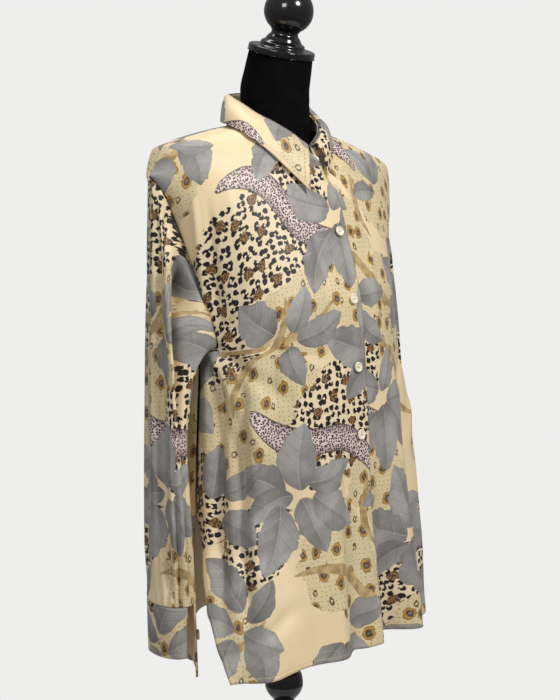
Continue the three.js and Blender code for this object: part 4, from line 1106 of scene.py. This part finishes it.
# The neck cap with its finial, the post and the base: turned wood under black gloss lacquer. The cap
# leans with the neck. The post shows under the hem, and the base stands on the floor.
CAP_PROFILE = [
    (0, 0), (42, 0), (44.5, 0.6), (45, 2.5), (45, 6.5), (44.3, 8.4), (42, 9), (33, 9.6), (30.5, 11),
    (29.5, 15), (25, 18), (22, 23), (18.6, 27), (18.4, 31), (21, 34.5), (25.5, 38.5), (30, 45),
    (32.6, 52), (33.1, 60), (31.4, 69), (27, 77.5), (20, 85), (11, 89.6), (0, 91),
]
POST_TOP_Z = NECK_Z - FORM_CLEAR - 545 - SEAM
POST_PROFILE = [
    (0, 22.3), (33, 22.3), (34, 24), (33.4, 27), (27, 33), (17.5, 38), (15, 42), (15, 48), (17, 51),
    (19, 54), (19.4, 57), (19, 60), (17, 63), (15, 66), (13.4, 72), (13, 80), (13, 230), (13, 385),
    (15, 389), (17.6, 392), (19.2, 396), (19.2, 400), (18, 405), (14.6, 408), (14.2, 413), (18, 417),
    (22, 422), (24.8, 429), (25.2, 436), (23.4, 446), (18.6, 454), (15.2, 458), (16, 461), (21, 464),
    (22.4, 468), (22.2, 473), (19, 477), (15.2, 480), (15, 500), (15, POST_TOP_Z), (0, POST_TOP_Z),
]
BASE_PROFILE = [
    (0, 0), (100, 0), (150, 0), (163, 0), (167, 0.2), (169.4, 1.4), (170, 4), (170, 8.5), (170, 13),
    (168.6, 16.4), (163, 19.4), (154, 21.3), (142, 22), (100, 22), (0, 22),
]


def lacquer():
    """Black gloss lacquer over turned wood, with the faintest ripple and dust in it."""
    material, tree, shader = surface("black_gloss_lacquer", 0.16, Coat_Weight=0.5, Coat_Roughness=0.05)
    ripple = figure(in_piece(tree), 90.0, Detail=3.0)
    colour = blend(ink(13, 13, 14), ink(22, 21, 21), ripple.over(0.5, 0.2))
    wire(tree, shader, Base_Color=colour, Normal=bumped(ripple * 0.0004, 0.25),
         Roughness=ripple * 0.1 + 0.11)
    return material


LACQUER = lacquer()
cap = solid_piece("cap_and_finial", [turned(flowing(CAP_PROFILE, 5), 96)], LACQUER,
                  ["neck_cap"])
leaning = Matrix.Rotation(np.radians(CAP_TILT), 4, "X")
cap.data.transform(Matrix.Translation((0, 0.006, (NECK_TOP_Z + SEAM + 0.1) * MM)) @ leaning)
solid_piece("turned_post", [turned(flowing(POST_PROFILE, 4), 64)], LACQUER, ["stand_post"])
solid_piece("round_base", [turned(flowing(BASE_PROFILE, 4), 128)], LACQUER, ["stand_base"])

# The studio: a plain pale floor under the stand, pale light all round, a soft lamp high in front of
# the blouse, a weaker one at the wearer's right and another above.
floor = bpy.data.objects.new("studio_floor", grid_mesh("studio_floor", turned(
    [(0.001, -0.3), (985, -0.3), (1000, -2), (985, -4), (0.001, -4)], 96)[::-1] * MM, True)[0])
bpy.context.scene.collection.objects.link(floor)
pale, tree, shader = surface("pale_floor", 0.9)
grain = figure(in_piece(tree), 8.0)
wire(tree, shader, Base_Color=blend(ink(206, 206, 206), ink(214, 214, 213), grain))
floor.data.materials.append(pale)

world = bpy.data.worlds.new("studio_light")
bpy.context.scene.world = world
world.use_nodes = True
tree = world.node_tree
seen = node(tree, "ShaderNodeLightPath")
backdrop = tree.nodes["Background"]
backdrop.inputs["Color"].default_value = ink(238, 238, 237)
pale_light = node(tree, "ShaderNodeTexCoord").split()[2] * 0.14 + 0.24
tree.links.new((seen + pale_light - seen * pale_light).socket, backdrop.inputs["Strength"])


def lamp(name, place, aim, size, power, colour=(1, 1, 1)):
    """A square soft lamp at a place, turned to shine at a point."""
    light = bpy.data.objects.new(name, bpy.data.lights.new(name, "AREA"))
    bpy.context.scene.collection.objects.link(light)
    light.data.size, light.data.energy, light.data.color = size, power, colour
    way = np.array(aim) - np.array(place)
    x, y, z = way / np.linalg.norm(way)
    light.location = place
    light.rotation_euler = (np.arccos(-z), 0, np.arctan2(y, x) - np.pi / 2)


lamp("key_lamp", (0.1, -2.0, 2.45), (0, 0, 1.15), 0.5, 42, (1.0, 0.985, 0.96))
lamp("side_lamp", (-2.0, -0.9, 2.2), (0, 0, 1.15), 0.7, 15)
lamp("top_lamp", (0.0, 0.5, 2.9), (0, 0, 1.1), 1.0, 14)
